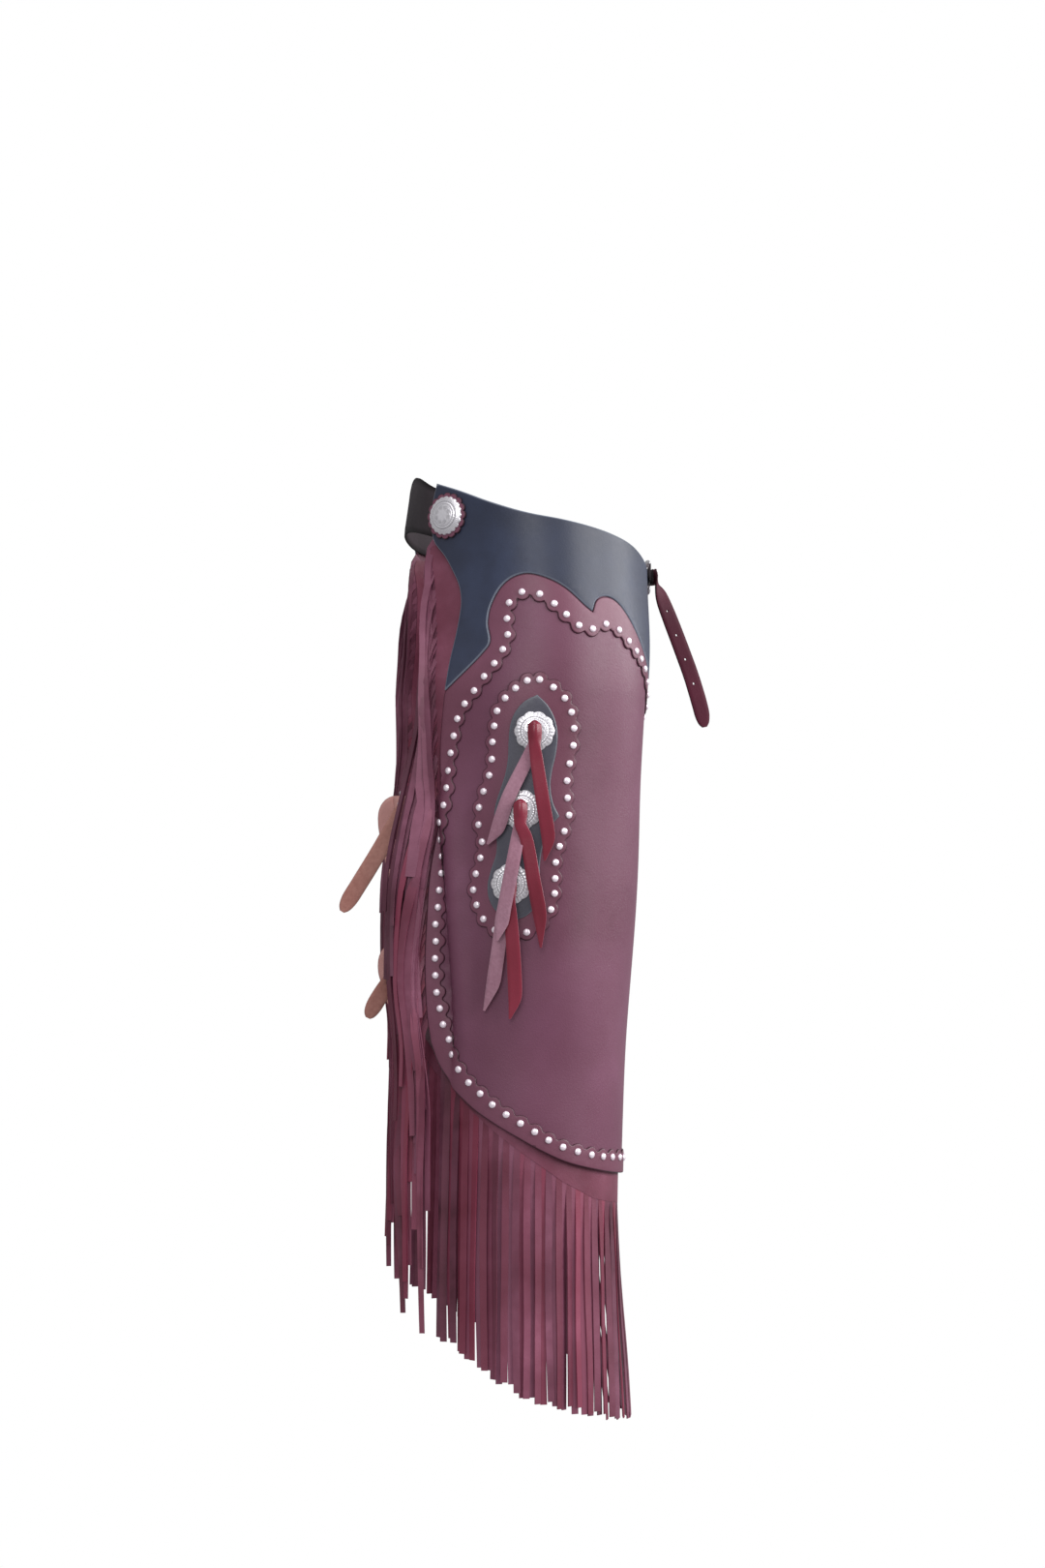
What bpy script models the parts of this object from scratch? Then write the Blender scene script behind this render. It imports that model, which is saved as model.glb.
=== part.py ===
"""Western show chaps, the whole pair, in the pose in which they are worn.

Metres, +Z up, the front of the garment towards -Y, the right leg at -X.
The origin is the middle of the belt ring at the height of the yokes' top edge.

A leg's wall is laid out on a sheet with two measures in millimetres:
  s  the way round the leg from its side line, plus towards the front
  z  the height
and "off" is the distance outwards from the inner face of the leg panel.
"""
import math

import bpy
import numpy as np
from mathutils.geometry import delaunay_2d_cdt

MM = 0.001

# The general form of a leg: one ellipse a height, which the wall leaves on a
# straight tangent behind, because thick leather stands off the leg there.
#       height  middle x  middle y  half width  half depth  leaves at (degrees)
FORM = (
    (60.0,      0.0,      0.0,      150.0,      112.0,      122.0),
    (0.0,      -3.0,      0.0,      159.0,      112.0,      122.0),
    (-60.0,   -22.0,     -2.0,      152.0,      107.0,      122.0),
    (-120.0,  -62.0,     -1.0,      124.0,      105.0,      122.0),
    (-180.0,  -92.0,      4.0,      100.0,      104.0,      122.0),
    (-300.0,  -98.0,      8.5,       95.0,      101.0,      123.0),
    (-440.0, -100.0,     12.5,       92.0,       98.0,      124.0),
    (-640.0, -104.0,     19.5,       88.0,       94.0,      125.0),
    (-900.0, -107.0,     21.5,       96.0,      110.0,      125.0),
)

ROWS = (60.0, 10.0, -35.0, -85.0, -135.0, -185.0, -240.0, -300.0, -360.0, -420.0,
        -475.0, -520.0, -570.0, -630.0, -760.0, -900.0)
FRONT_COLUMNS = (-46.0, -17.0, 13.0, 43.0, 74.0, 106.0, 138.0, 170.0, 202.0, 234.0,
                 262.0)

# Rear edge of the wall, and the valley of the long crease in front of it.
#              height   s
REAR_EDGE = ((60.0, -124.0), (25.0, -126.0), (-16.0, -134.5), (-31.0, -132.0),
             (-46.0, -120.5), (-64.0, -110.0), (-75.0, -104.5), (-90.0, -101.5),
             (-108.0, -103.0), (-140.0, -108.0), (-174.0, -110.0), (-216.0, -112.0),
             (-280.0, -113.0), (-345.0, -120.0), (-435.0, -121.0), (-480.0, -117.0),
             (-505.0, -112.0), (-900.0, -112.0))
CREASE = ((60.0, -98.0), (-280.0, -98.0), (-390.0, -96.0), (-505.0, -88.0),
          (-900.0, -88.0))
#                  height  share of the full crease
CREASE_DEPTH = ((60.0, 0.0), (-225.0, 0.0), (-300.0, 0.7), (-360.0, 1.0), (-450.0, 1.0),
                (-505.0, 0.5), (-575.0, 0.0), (-900.0, 0.0))
#            s       z       width   height  push (mm, plus is outwards)
DENTS = (
    (70.0,  -285.0,  45.0,   80.0,   -3.0),
    (25.0,  -430.0,  50.0,   60.0,    2.0),
    (95.0,  -480.0,  40.0,   70.0,   -2.5),
    (-10.0, -520.0,  45.0,   40.0,   -2.0),
    (150.0, -380.0,  40.0,   90.0,    2.0),
)


def along(table, height, column=1):
    """Value of a table of (height, value, ...) at a height, straight between rows."""
    heights = [row[0] for row in table][::-1]
    values = [row[column] for row in table][::-1]
    return float(np.interp(height, heights, values))


def eased(table, height, column):
    """The same, with a smooth change of slope at the rows."""
    x = np.array([row[0] for row in table][::-1])
    y = np.array([row[column] for row in table][::-1])
    step = np.diff(x)
    slope = np.diff(y) / step
    tangent = np.zeros_like(y)
    tangent[0], tangent[-1] = slope[0], slope[-1]
    for i in range(1, len(x) - 1):
        if slope[i - 1] * slope[i] > 0:
            tangent[i] = 2 * slope[i - 1] * slope[i] / (slope[i - 1] + slope[i])
    i = int(np.clip(np.searchsorted(x, height) - 1, 0, len(x) - 2))
    u = (height - x[i]) / step[i]
    return float((2 * u ** 3 - 3 * u ** 2 + 1) * y[i]
                 + (u ** 3 - 2 * u ** 2 + u) * step[i] * tangent[i]
                 + (3 * u ** 2 - 2 * u ** 3) * y[i + 1]
                 + (u ** 3 - u ** 2) * step[i] * tangent[i + 1])


ANGLES = np.radians(np.linspace(-115.0, 180.0, 591))
SIDE_LINE = math.radians(85.0)


def form_point(s, height):
    """Point of the general form and its outward direction, all in mm."""
    cx, cy, rx, ry, leave = (eased(FORM, height, c) for c in range(1, 6))
    leave = math.radians(leave)
    x = cx - rx * np.sin(ANGLES)
    y = cy - ry * np.cos(ANGLES)
    arc = np.concatenate([[0.0], np.cumsum(np.hypot(np.diff(x), np.diff(y)))])
    way = np.interp(SIDE_LINE, ANGLES, arc) - arc
    s_leave = float(np.interp(leave, ANGLES, way))
    angle = leave if s < s_leave else float(np.interp(-s, -way, ANGLES))
    px, py = cx - rx * math.sin(angle), cy - ry * math.cos(angle)
    nx, ny = -math.sin(angle) / rx, -math.cos(angle) / ry
    size = math.hypot(nx, ny)
    nx, ny = nx / size, ny / size
    if s < s_leave:
        px, py = px + ny * (s_leave - s), py - nx * (s_leave - s)
    return np.array([px, py, height]), np.array([nx, ny, 0.0])


def columns(height):
    valley = along(CREASE, height)
    rear = along(REAR_EDGE, height)
    return [rear - 60.0, min(rear - 14.0, valley - 20.0), valley - 9.0, valley,
            valley + 10.0, valley + 26.0] + list(FRONT_COLUMNS)


def push(column, s, height):
    """How far the worn leather stands off the general form, in mm."""
    k = along(CREASE_DEPTH, height)
    value = k * (7.0, 8.0, -2.5, -7.0, 5.0, 2.0)[column] if column < 6 else 0.0
    for s0, z0, width, tall, amount in DENTS:
        value += amount * math.exp(-((s - s0) / width) ** 2 - ((height - z0) / tall) ** 2)
    return value


def make_grid():
    place, sheet = [], []
    for height in ROWS:
        row_place, row_sheet = [], []
        for k, s in enumerate(columns(height)):
            point, outward = form_point(s, height)
            row_place.append(point + outward * push(k, s, height))
            row_sheet.append((s, height))
        place.append(row_place)
        sheet.append(row_sheet)
    place, sheet = np.array(place), np.array(sheet)
    down = np.gradient(place, axis=0)
    round_ = np.gradient(place, axis=1)
    outward = np.cross(down, round_)
    outward /= np.linalg.norm(outward, axis=2)[..., None]
    side = int(np.argmin(np.abs(sheet[0, :, 0])))
    if outward[0, side, 0] > 0:
        outward = -outward
    return place, outward, sheet


PLACE, OUTWARD, SHEET = make_grid()
N_ROWS, N_COLS = SHEET.shape[:2]


def cell_triangles():
    """Every cell of the grid as two triangles of (row, column) corners."""
    for j in range(N_ROWS - 1):
        for k in range(N_COLS - 1):
            yield (j, k), (j + 1, k), (j + 1, k + 1)
            yield (j, k), (j + 1, k + 1), (j, k + 1)


TRIANGLES = list(cell_triangles())
CORNERS = np.array([[SHEET[c] for c in t] for t in TRIANGLES])


def on_wall(s, height, off):
    """Point in mm of the wall at (s, height), off mm outwards of its inner face."""
    a, b, c = CORNERS[:, 0], CORNERS[:, 1], CORNERS[:, 2]
    v0, v1 = b - a, c - a
    v2 = np.array([s, height]) - a
    area = v0[:, 0] * v1[:, 1] - v0[:, 1] * v1[:, 0]
    wb = (v2[:, 0] * v1[:, 1] - v2[:, 1] * v1[:, 0]) / area
    wc = (v0[:, 0] * v2[:, 1] - v0[:, 1] * v2[:, 0]) / area
    wa = 1.0 - wb - wc
    best = int(np.argmax(np.minimum(np.minimum(wa, wb), wc)))
    weights = (wa[best], wb[best], wc[best])
    point = np.zeros(3)
    for weight, corner in zip(weights, TRIANGLES[best]):
        point += weight * (PLACE[corner] + off * OUTWARD[corner])
    return point


MATERIALS = {
    "burgundy_leather": (0.115, 0.045, 0.068, 1.0),
    "black_leather": (0.055, 0.058, 0.078, 1.0),
    "natural_leather": (0.42, 0.23, 0.17, 1.0),
    "silver": (0.72, 0.72, 0.74, 1.0),
}
made = {}


def material(key):
    if key not in made:
        made[key] = bpy.data.materials.new(key)
        made[key].diffuse_color = MATERIALS[key]
    return made[key]


def add_body(name, points, faces, key, side=1):
    """A closed body from points in mm; side -1 makes the left leg's mirror image."""
    points = np.array([(p[0] * side, p[1], p[2]) for p in points]) * MM
    split = []
    for face in faces:
        if len(face) == 4:
            split += [(face[0], face[1], face[2]), (face[0], face[2], face[3])]
        else:
            split.append(tuple(face))
    faces = split
    volume = 0.0
    for face in faces:
        for k in range(1, len(face) - 1):
            volume += np.dot(points[face[0]], np.cross(points[face[k]], points[face[k + 1]]))
    if volume < 0:
        faces = [tuple(reversed(f)) for f in faces]
    mesh = bpy.data.meshes.new(name)
    mesh.from_pydata([tuple(p) for p in points], [], faces)
    mesh.validate()
    mesh.update()
    body = bpy.data.objects.new(name, mesh)
    bpy.context.collection.objects.link(body)
    body.data.materials.append(material(key))
    return body


def inside(outline, s, height):
    hit = False
    for (s0, z0), (s1, z1) in zip(outline, outline[1:] + outline[:1]):
        if (z0 > height) != (z1 > height):
            if s < s0 + (height - z0) / (z1 - z0) * (s1 - s0):
                hit = not hit
    return hit


def leather(name, outline, low, high, key, side):
    """A piece of leather: its outline on the sheet, between two distances off the wall."""
    outline = [tuple(p) for p in outline]
    s_low, s_high = min(p[0] for p in outline), max(p[0] for p in outline)
    z_low, z_high = min(p[1] for p in outline), max(p[1] for p in outline)
    flat = list(outline)
    edges = [(i, (i + 1) % len(outline)) for i in range(len(outline))]
    index = {}

    def node(corner):
        if corner not in index:
            index[corner] = len(flat)
            flat.append(tuple(SHEET[corner]))
        return index[corner]

    wanted = set()
    for triangle in TRIANGLES:
        spots = np.array([SHEET[c] for c in triangle])
        if (spots[:, 0].max() < s_low or spots[:, 0].min() > s_high
                or spots[:, 1].max() < z_low or spots[:, 1].min() > z_high):
            continue
        ids = [node(c) for c in triangle]
        for a, b in ((0, 1), (1, 2), (2, 0)):
            wanted.add((min(ids[a], ids[b]), max(ids[a], ids[b])))
    edges += sorted(wanted)
    out = delaunay_2d_cdt([tuple(map(float, p)) for p in flat], edges, [], 0, 0.12)
    spots, triangles = out[0], out[2]
    kept = []
    for triangle in triangles:
        s = sum(spots[v][0] for v in triangle) / 3
        z = sum(spots[v][1] for v in triangle) / 3
        if inside(outline, s, z):
            kept.append(tuple(triangle))
    used = sorted({v for t in kept for v in t})
    renumber = {v: i for i, v in enumerate(used)}
    count = len(used)
    points = [on_wall(spots[v][0], spots[v][1], low) for v in used]
    points += [on_wall(spots[v][0], spots[v][1], high) for v in used]
    faces, seen = [], set()
    for a, b, c in kept:
        turn = ((spots[b][0] - spots[a][0]) * (spots[c][1] - spots[a][1])
                - (spots[b][1] - spots[a][1]) * (spots[c][0] - spots[a][0]))
        if turn < 0:
            b, c = c, b
        a, b, c = renumber[a], renumber[b], renumber[c]
        faces.append((a + count, b + count, c + count))
        faces.append((a, c, b))
        seen.update(((a, b), (b, c), (c, a)))
    for a, b in sorted(seen):
        if (b, a) not in seen:
            faces.append((a, b, b + count, a + count))
    return add_body(name, points, faces, key, side)


def shifted(path, distance):
    """A polyline moved sideways with mitred corners, to its left for a plus distance."""
    sides = []
    for (s0, z0), (s1, z1) in zip(path, path[1:]):
        size = math.hypot(s1 - s0, z1 - z0)
        sides.append((-(z1 - z0) / size, (s1 - s0) / size))
    out = []
    for i, (s, z) in enumerate(path):
        a, b = sides[max(i - 1, 0)], sides[min(i, len(sides) - 1)]
        ms, mz = a[0] + b[0], a[1] + b[1]
        size = math.hypot(ms, mz)
        reach = distance / max(size / 2, 0.4)
        out.append((s + ms / size * reach, z + mz / size * reach))
    return out


def scallops(spots, reach, closed=False):
    """The scalloped edge round a row of spots, bulging to the left of their order."""
    out = []
    n = len(spots)
    for i, (s, z) in enumerate(spots):
        before = spots[i - 1] if (closed or i > 0) else spots[0]
        after = spots[(i + 1) % n] if (closed or i < n - 1) else spots[-1]
        ds, dz = after[0] - before[0], after[1] - before[1]
        size = math.hypot(ds, dz)
        ds, dz = ds / size, dz / size
        if closed or i < n - 1:
            ahead = spots[(i + 1) % n]
            gap = math.hypot(ahead[0] - s, ahead[1] - z)
            es, ez = (ahead[0] - s) / gap, (ahead[1] - z) / gap
            notch = ((s + ahead[0]) / 2 - ez * reach * 0.52,
                     (z + ahead[1]) / 2 + es * reach * 0.52)
        half = math.radians(36)
        for angle in (-half, half):
            out.append((s + reach * (-dz * math.cos(angle) + ds * math.sin(angle)),
                        z + reach * (ds * math.cos(angle) + dz * math.sin(angle))))
        if closed or i < n - 1:
            out.append(notch)
    return out


def ribbon(name, stations, thick, key, side=1):
    """A strap or string: stations of (middle, width direction, width), in mm.

    The thickness lies across both the way along and the width."""
    middles = np.array([s[0] for s in stations], float)
    points = []
    for i, (middle, across, width) in enumerate(stations):
        a = middles[max(i - 1, 0)]
        b = middles[min(i + 1, len(stations) - 1)]
        way = (b - a) / np.linalg.norm(b - a)
        across = np.array(across, float)
        across -= way * np.dot(across, way)
        across /= np.linalg.norm(across)
        face = np.cross(way, across)
        for u, v in ((-1, -1), (1, -1), (1, 1), (-1, 1)):
            points.append(middles[i] + across * u * width / 2 + face * v * thick / 2)
    faces = [(3, 2, 1, 0)]
    last = 4 * (len(stations) - 1)
    for i in range(len(stations) - 1):
        for k in range(4):
            a, b = 4 * i + k, 4 * i + (k + 1) % 4
            faces.append((a, b, b + 4, a + 4))
    faces.append((last, last + 1, last + 2, last + 3))
    return add_body(name, points, faces, key, side)


def turned(name, rings, base, axes, key, side=1):
    """A low round body: rings of (radius, height, scallop) on a base with axes u, v, w."""
    sides = 16
    u, v, w = axes
    points = []
    for radius, height, scallop in rings:
        for i in range(sides):
            angle = 2 * math.pi * i / sides
            r = radius * (1.0 + scallop * (1 if i % 2 == 0 else -1))
            points.append(base + u * r * math.cos(angle) + v * r * math.sin(angle) + w * height)
    faces = [tuple(range(sides - 1, -1, -1))]
    for j in range(len(rings) - 1):
        for i in range(sides):
            a, b = j * sides + i, j * sides + (i + 1) % sides
            faces.append((a, b, b + sides, a + sides))
    top = (len(rings) - 1) * sides
    faces.append(tuple(range(top, top + sides)))
    return add_body(name, points, faces, key, side)


def seat(s, height, off, reach):
    """Base point and axes of a flat disc that just clears the wall under it."""
    middle = on_wall(s, height, off)
    u = on_wall(s + reach, height, off) - on_wall(s - reach, height, off)
    v = on_wall(s, height + reach, off) - on_wall(s, height - reach, off)
    u /= np.linalg.norm(u)
    w = np.cross(u, v)
    w /= np.linalg.norm(w)
    v = np.cross(w, u)
    top = 0.0
    for i in range(24):
        for share in (0.25, 0.5, 0.75, 1.0):
            angle = 2 * math.pi * i / 24
            spot = on_wall(s + share * reach * math.cos(angle),
                           height + share * reach * math.sin(angle), off)
            top = max(top, float(np.dot(spot - middle, w)))
    return middle + w * top, (u, v, w)


# Outlines on the sheet, (s, z) in mm.

YOKE_TOP = [(-126, 25), (-100, 17), (-63, 4), (-28, -7), (2, -13), (35, -20), (62, -26),
            (91, -33), (120, -42), (148, -50), (175, -55), (194, -57)]
YOKE_FRONT = [(203, -80), (210, -110), (216, -150), (219, -183)]
YOKE_LOW = [(198, -187), (181, -184), (162, -176), (138, -160), (115, -141), (95, -121),
            (78, -104), (62, -91), (50, -86), (40, -86), (33, -90), (29, -100), (22, -95),
            (2, -78), (-15, -69), (-32, -65), (-45, -68), (-54, -74), (-61, -82),
            (-69, -98), (-71, -112), (-68, -130), (-75, -140), (-109, -174)]
YOKE_REAR = [(-110, -174), (-108, -140), (-103, -108), (-101.5, -90), (-104.5, -75),
             (-110, -64), (-120.5, -46), (-132, -31), (-134.5, -16)]
WALL_REAR = [(-110, -174), (-112, -216), (-113, -280), (-120, -345), (-121, -390),
             (-121, -435), (-117, -480), (-112, -505)]
HEM = [(-112, -505), (-103, -525), (-88, -545), (-68, -563), (-45, -578), (-23, -591),
       (-2, -603), (23, -615), (55, -624), (86, -630), (120, -634), (160, -637), (212, -638)]
WALL_INNER = [(212, -638), (221, -437), (229, -300), (228, -240), (223, -205), (219, -183)]

SPOTS = [(205, -207), (189, -208), (174, -204), (160, -197), (148, -187), (137, -176),
         (125, -164), (113, -152), (101, -143), (90, -136), (76, -127), (61, -117),
         (44, -112), (29, -117), (15, -114), (3, -104), (-8, -94), (-21, -85), (-37, -83),
         (-49, -93), (-51, -108), (-50, -123), (-54, -137), (-61, -150), (-70, -162),
         (-79, -175), (-88, -187), (-95, -201), (-98, -217), (-100, -233), (-101, -250),
         (-102, -266), (-104, -282), (-107, -298), (-109, -314), (-111, -330), (-111, -346),
         (-112, -362), (-112, -378), (-113, -394), (-112, -410), (-112, -426), (-111, -442),
         (-109, -458), (-105, -473), (-101, -488), (-95, -502), (-88, -516), (-80, -529),
         (-70, -541), (-58, -551), (-46, -561), (-33, -570), (-20, -578), (-7, -586),
         (6, -594), (20, -601), (35, -606), (51, -610), (67, -613), (83, -615), (100, -617),
         (116, -619), (132, -620), (148, -621), (164, -622), (180, -622), (196, -622)]

PLAQUE_SPOTS = [(-18, -165), (-5, -172), (6, -182), (13, -195), (16, -210), (16, -226),
                (13, -243), (11, -259), (12, -275), (14, -291), (10, -306), (6, -320),
                (3, -335), (3, -350), (3, -364), (0, -379), (-8, -392), (-21, -400),
                (-36, -402), (-50, -398), (-61, -388), (-68, -375), (-72, -361),
                (-70, -346), (-66, -331), (-65, -316), (-69, -300), (-69, -284),
                (-65, -269), (-60, -254), (-58, -239), (-58, -223), (-57, -208),
                (-55, -194), (-48, -182), (-39, -173), (-29, -166)]
INLAY = [(-19, -179), (-9, -189), (-2, -202), (1, -216), (0, -234), (-3, -250), (-4, -264),
         (-1, -280), (5, -292), (-5, -304), (-9, -319), (-11, -335), (-11, -350),
         (-11, -363), (-14, -376), (-24, -386), (-36, -388), (-48, -382), (-56, -370),
         (-58, -356), (-55, -341), (-51, -327), (-51, -311), (-54, -295), (-53, -281),
         (-49, -267), (-45, -253), (-43, -238), (-43, -222), (-42, -207), (-38, -195),
         (-30, -185)]

# The stack on the wall: inner and outer face of each layer, mm.
#         inner  outer
PANEL = (0.0,   2.2)
YOKE = (2.5,    4.5)
BORDER = (2.5,  4.0)
PLAQUE = (2.5,  4.0)
INLAID = (4.3,  5.4)
BACKING = (-2.8, -1.0)

#          middle s  middle z
CONCHOS = ((-20.0,   -213.0),
           (-29.0,   -286.0),
           (-36.0,   -355.0))


# Where the rear fringe's cuts start: behind an uncut wedge along the yoke's recessed edge.
#            height   s
CUT_LINE = ((60.0, -138.0), (-33.0, -138.0), (-42.0, -142.5), (-48.0, -141.0),
            (-66.0, -137.0), (-86.0, -134.0), (-110.0, -130.5), (-140.0, -127.0),
            (-174.0, -122.0), (-216.0, -117.5), (-280.0, -116.0), (-345.0, -121.2),
            (-435.0, -122.2), (-480.0, -118.2), (-505.0, -113.2), (-900.0, -112.0))


def lean(drop):
    """How far behind the cut line a strand hangs, drop mm below its root."""
    return 4.0 * min(drop / 16.0, 1.0) + 40.0 * (1.0 - math.exp(-max(drop - 8.0, 0.0) / 150.0))


def rear_fringe(name, side):
    """Long strands from a narrow strip inside the rear edge, in six layers."""
    roots = [-37.0 - 16.4 * i for i in range(28)]
    lanes = 6
    half, slim = 2.6, 2.3
    points, faces = [], []

    def add(p):
        points.append(p)
        return len(points) - 1

    def quad(a, b, c, d):
        faces.append((a, b, c, d))

    low, high = BACKING
    strip = []
    for root in roots:
        for z in (root + half, root - half):
            inner, cut = along(REAR_EDGE, z) + 10.0, along(CUT_LINE, z)
            strip.append([add(on_wall(inner, z, low)), add(on_wall(inner, z, high)),
                          add(on_wall(cut, z, high)), add(on_wall(cut, z, low))])
    a = strip[0]
    quad(a[3], a[2], a[1], a[0])
    a = strip[-1]
    quad(a[0], a[1], a[2], a[3])
    for j in range(len(strip) - 1):
        a, b = strip[j], strip[j + 1]
        for k in range(4):
            if k == 2 and j % 2 == 0:
                continue
            quad(a[k], a[(k + 1) % 4], b[(k + 1) % 4], b[k])
    thick = (high - low) / 2
    for i, z in enumerate(roots):
        upper, lower = strip[2 * i], strip[2 * i + 1]
        ring = [upper[2], upper[3], lower[3], lower[2]]
        lane = 2.4 * (i % lanes)
        length = 288.0 + 9.0 * math.sin(2.3 * i) + 6.0 * math.sin(5.1 * i + 1.0)
        cut = along(CUT_LINE, z)
        path = [(cut, z), (cut - 4.2, z - 3.0)]
        for drop in (16.0, 95.0, length):
            here = z - drop
            settled = min(drop / 80.0, 1.0)
            base = settled * along(CUT_LINE, here) + (1.0 - settled) * cut
            path.append((base - lean(drop), here))
        for n in range(1, len(path)):
            s, here = path[n]
            before = path[n - 1]
            after = path[min(n + 1, len(path) - 1)]
            ds, dz = after[0] - before[0], after[1] - before[1]
            size = math.hypot(ds, dz)
            ds, dz = ds / size, dz / size
            width = slim if n < len(path) - 1 else slim * 0.85
            mid = (low + high) / 2 + lane
            one = (s + dz * width, here - ds * width)
            two = (s - dz * width, here + ds * width)
            fresh = [add(on_wall(one[0], one[1], mid + thick)),
                     add(on_wall(one[0], one[1], mid - thick)),
                     add(on_wall(two[0], two[1], mid - thick)),
                     add(on_wall(two[0], two[1], mid + thick))]
            for k in range(4):
                quad(ring[k], ring[(k + 1) % 4], fresh[(k + 1) % 4], fresh[k])
            ring = fresh
        quad(*ring)
    return add_body(name, points, faces, "burgundy_leather", side)


def hem_height(s):
    return float(np.interp(s, [p[0] for p in HEM], [p[1] for p in HEM]))


def hem_fringe(name, side):
    """Strands from a strip inside the hem, uncut for a short way below it in front."""
    pitch, half = 6.2, 2.7
    roots = [-99.5 + pitch * i for i in range(50)]
    low, high = BACKING
    thick = (high - low) / 2
    points, faces = [], []

    def add(p):
        points.append(p)
        return len(points) - 1

    def quad(a, b, c, d):
        faces.append((a, b, c, d))

    def cut(s):
        return hem_height(s) - float(np.interp(s, [-110, -60, 0, 60, 220], [1, 5, 12, 25, 27]))

    strip = []
    for s in roots:
        for t in (s - half, s + half):
            top, bottom = hem_height(t) + 15.0, cut(t)
            strip.append([add(on_wall(t, top, low)), add(on_wall(t, top, high)),
                          add(on_wall(t, bottom, high)), add(on_wall(t, bottom, low))])
    a = strip[0]
    quad(a[0], a[1], a[2], a[3])
    a = strip[-1]
    quad(a[3], a[2], a[1], a[0])
    for j in range(len(strip) - 1):
        a, b = strip[j], strip[j + 1]
        for k in range(4):
            if k == 2 and j % 2 == 0:
                continue
            quad(b[k], b[(k + 1) % 4], a[(k + 1) % 4], a[k])
    for i, s in enumerate(roots):
        left, right = strip[2 * i], strip[2 * i + 1]
        ring = [left[2], left[3], right[3], right[2]]
        end = float(np.interp(s, [-110, -89, -51, -10, 45, 125, 212],
                              [-778, -784, -808, -834, -850, -866, -868]))
        end += 4.0 * math.sin(3.1 * i) + 2.5 * math.sin(7.3 * i)
        start = cut(s)
        for share in (0.4, 1.0):
            here = start + (end - start) * share
            drift = 1.1 * math.sin(0.8 * i + 2.6 * share) * share
            lane = (1.5 if i % 2 else -0.6) * min(share * 2.0, 1.0)
            lane += 1.2 * math.sin(0.45 * i + 3.0 * share) * share
            mid = (low + high) / 2 + lane
            width = half * (1.0 if share < 1.0 else 0.9)
            fresh = [add(on_wall(s + drift - width, here, mid + thick)),
                     add(on_wall(s + drift - width, here, mid - thick)),
                     add(on_wall(s + drift + width, here, mid - thick)),
                     add(on_wall(s + drift + width, here, mid + thick))]
            for k in range(4):
                quad(ring[(k + 1) % 4], ring[k], fresh[k], fresh[(k + 1) % 4])
            ring = fresh
        quad(ring[3], ring[2], ring[1], ring[0])
    return add_body(name, points, faces, "burgundy_leather", side)


def thong(name, concho, tails, side):
    """One string, folded over the bar of a slotted concho: two tails of (s, z, off, width)."""
    base, (u, v, w) = seat(concho[0], concho[1], INLAID[1] + 0.3, 19.0)
    under, over = tails

    def tail(rows):
        across = np.cross(on_wall(*rows[-2][:3]) - on_wall(*rows[0][:3]), w)
        if np.dot(across, u) < 0:
            across = -across
        return [(on_wall(s, z, off), across, width) for s, z, off, width in rows]

    loop = ((-7.0, 5.8), (0.0, 6.0), (5.0, 6.4), (7.0, 8.0), (5.0, 9.6), (0.0, 10.0),
            (-7.0, 9.8))
    stations = tail(under)[::-1]
    stations += [(base + v * up + w * out, u, 11.0) for up, out in loop]
    stations += tail(over)
    return ribbon(name, stations, 1.4, "burgundy_leather", side)


def buckle(name, origin, along_x, outward, side, strap=16.0, rim=4.0):
    """A plain heel-bar buckle and its prong; x runs from the heel to the outer bar."""
    ex = np.array(along_x, float)
    ex /= np.linalg.norm(ex)
    en = np.array(outward, float)
    en -= ex * np.dot(en, ex)
    en /= np.linalg.norm(en)
    ez = np.cross(ex, en)
    origin = np.array(origin, float)

    def place(x, n, z=0.0):
        return origin + ex * x + en * n + ez * z

    tall = strap / 2 + 1.6
    outer = ((-13.0, -tall - rim + 2.0), (-11.0, -tall - rim), (11.0, -tall - rim),
             (14.0, -tall - rim + 4.0), (14.0, tall + rim - 4.0), (11.0, tall + rim),
             (-11.0, tall + rim), (-13.0, tall + rim - 2.0))
    inner = ((-9.6, -tall + 1.0), (-8.6, -tall), (9.0, -tall), (10.0, -tall + 1.2),
             (10.0, tall - 1.2), (9.0, tall), (-8.6, tall), (-9.6, tall - 1.0))
    points, faces = [], []
    for n in (-1.2, 1.2):
        points += [place(x, n, z) for x, z in outer]
        points += [place(x, n, z) for x, z in inner]
    for i in range(8):
        j = (i + 1) % 8
        faces.append((i, j, 8 + j, 8 + i))
        faces.append((16 + i, 24 + i, 24 + j, 16 + j))
        faces.append((j, i, 16 + i, 16 + j))
        faces.append((8 + i, 8 + j, 24 + j, 24 + i))
    add_body(name, points, faces, "silver", side)
    prong = [(place(x, n), ez, 2.4) for x, n in ((2.2, 4.4), (6.5, 3.4), (15.0, 2.6))]
    ribbon(name + "_prong", prong, 1.8, "silver", side)
    return place, ez


def chape(name, start, place, ez, side):
    """The short strap that holds a buckle, folded round its heel bar."""
    fold = ((-20.0, -3.2), (-12.0, -2.9), (-8.4, -2.4), (-6.8, 0.0), (-8.4, 2.4),
            (-12.0, 2.9), (-19.0, 2.2))
    stations = [(p, ez, 15.0) for p in start]
    stations += [(place(x, n), ez, 15.0) for x, n in fold]
    ribbon(name, stations, 1.6, "black_leather" if "front" in name else "burgundy_leather",
           side)


THROUGH = ((14.0, -2.8), (9.2, -2.8), (3.5, 0.2), (-2.0, 4.0), (-8.0, 5.9), (-14.0, 6.2))


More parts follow.
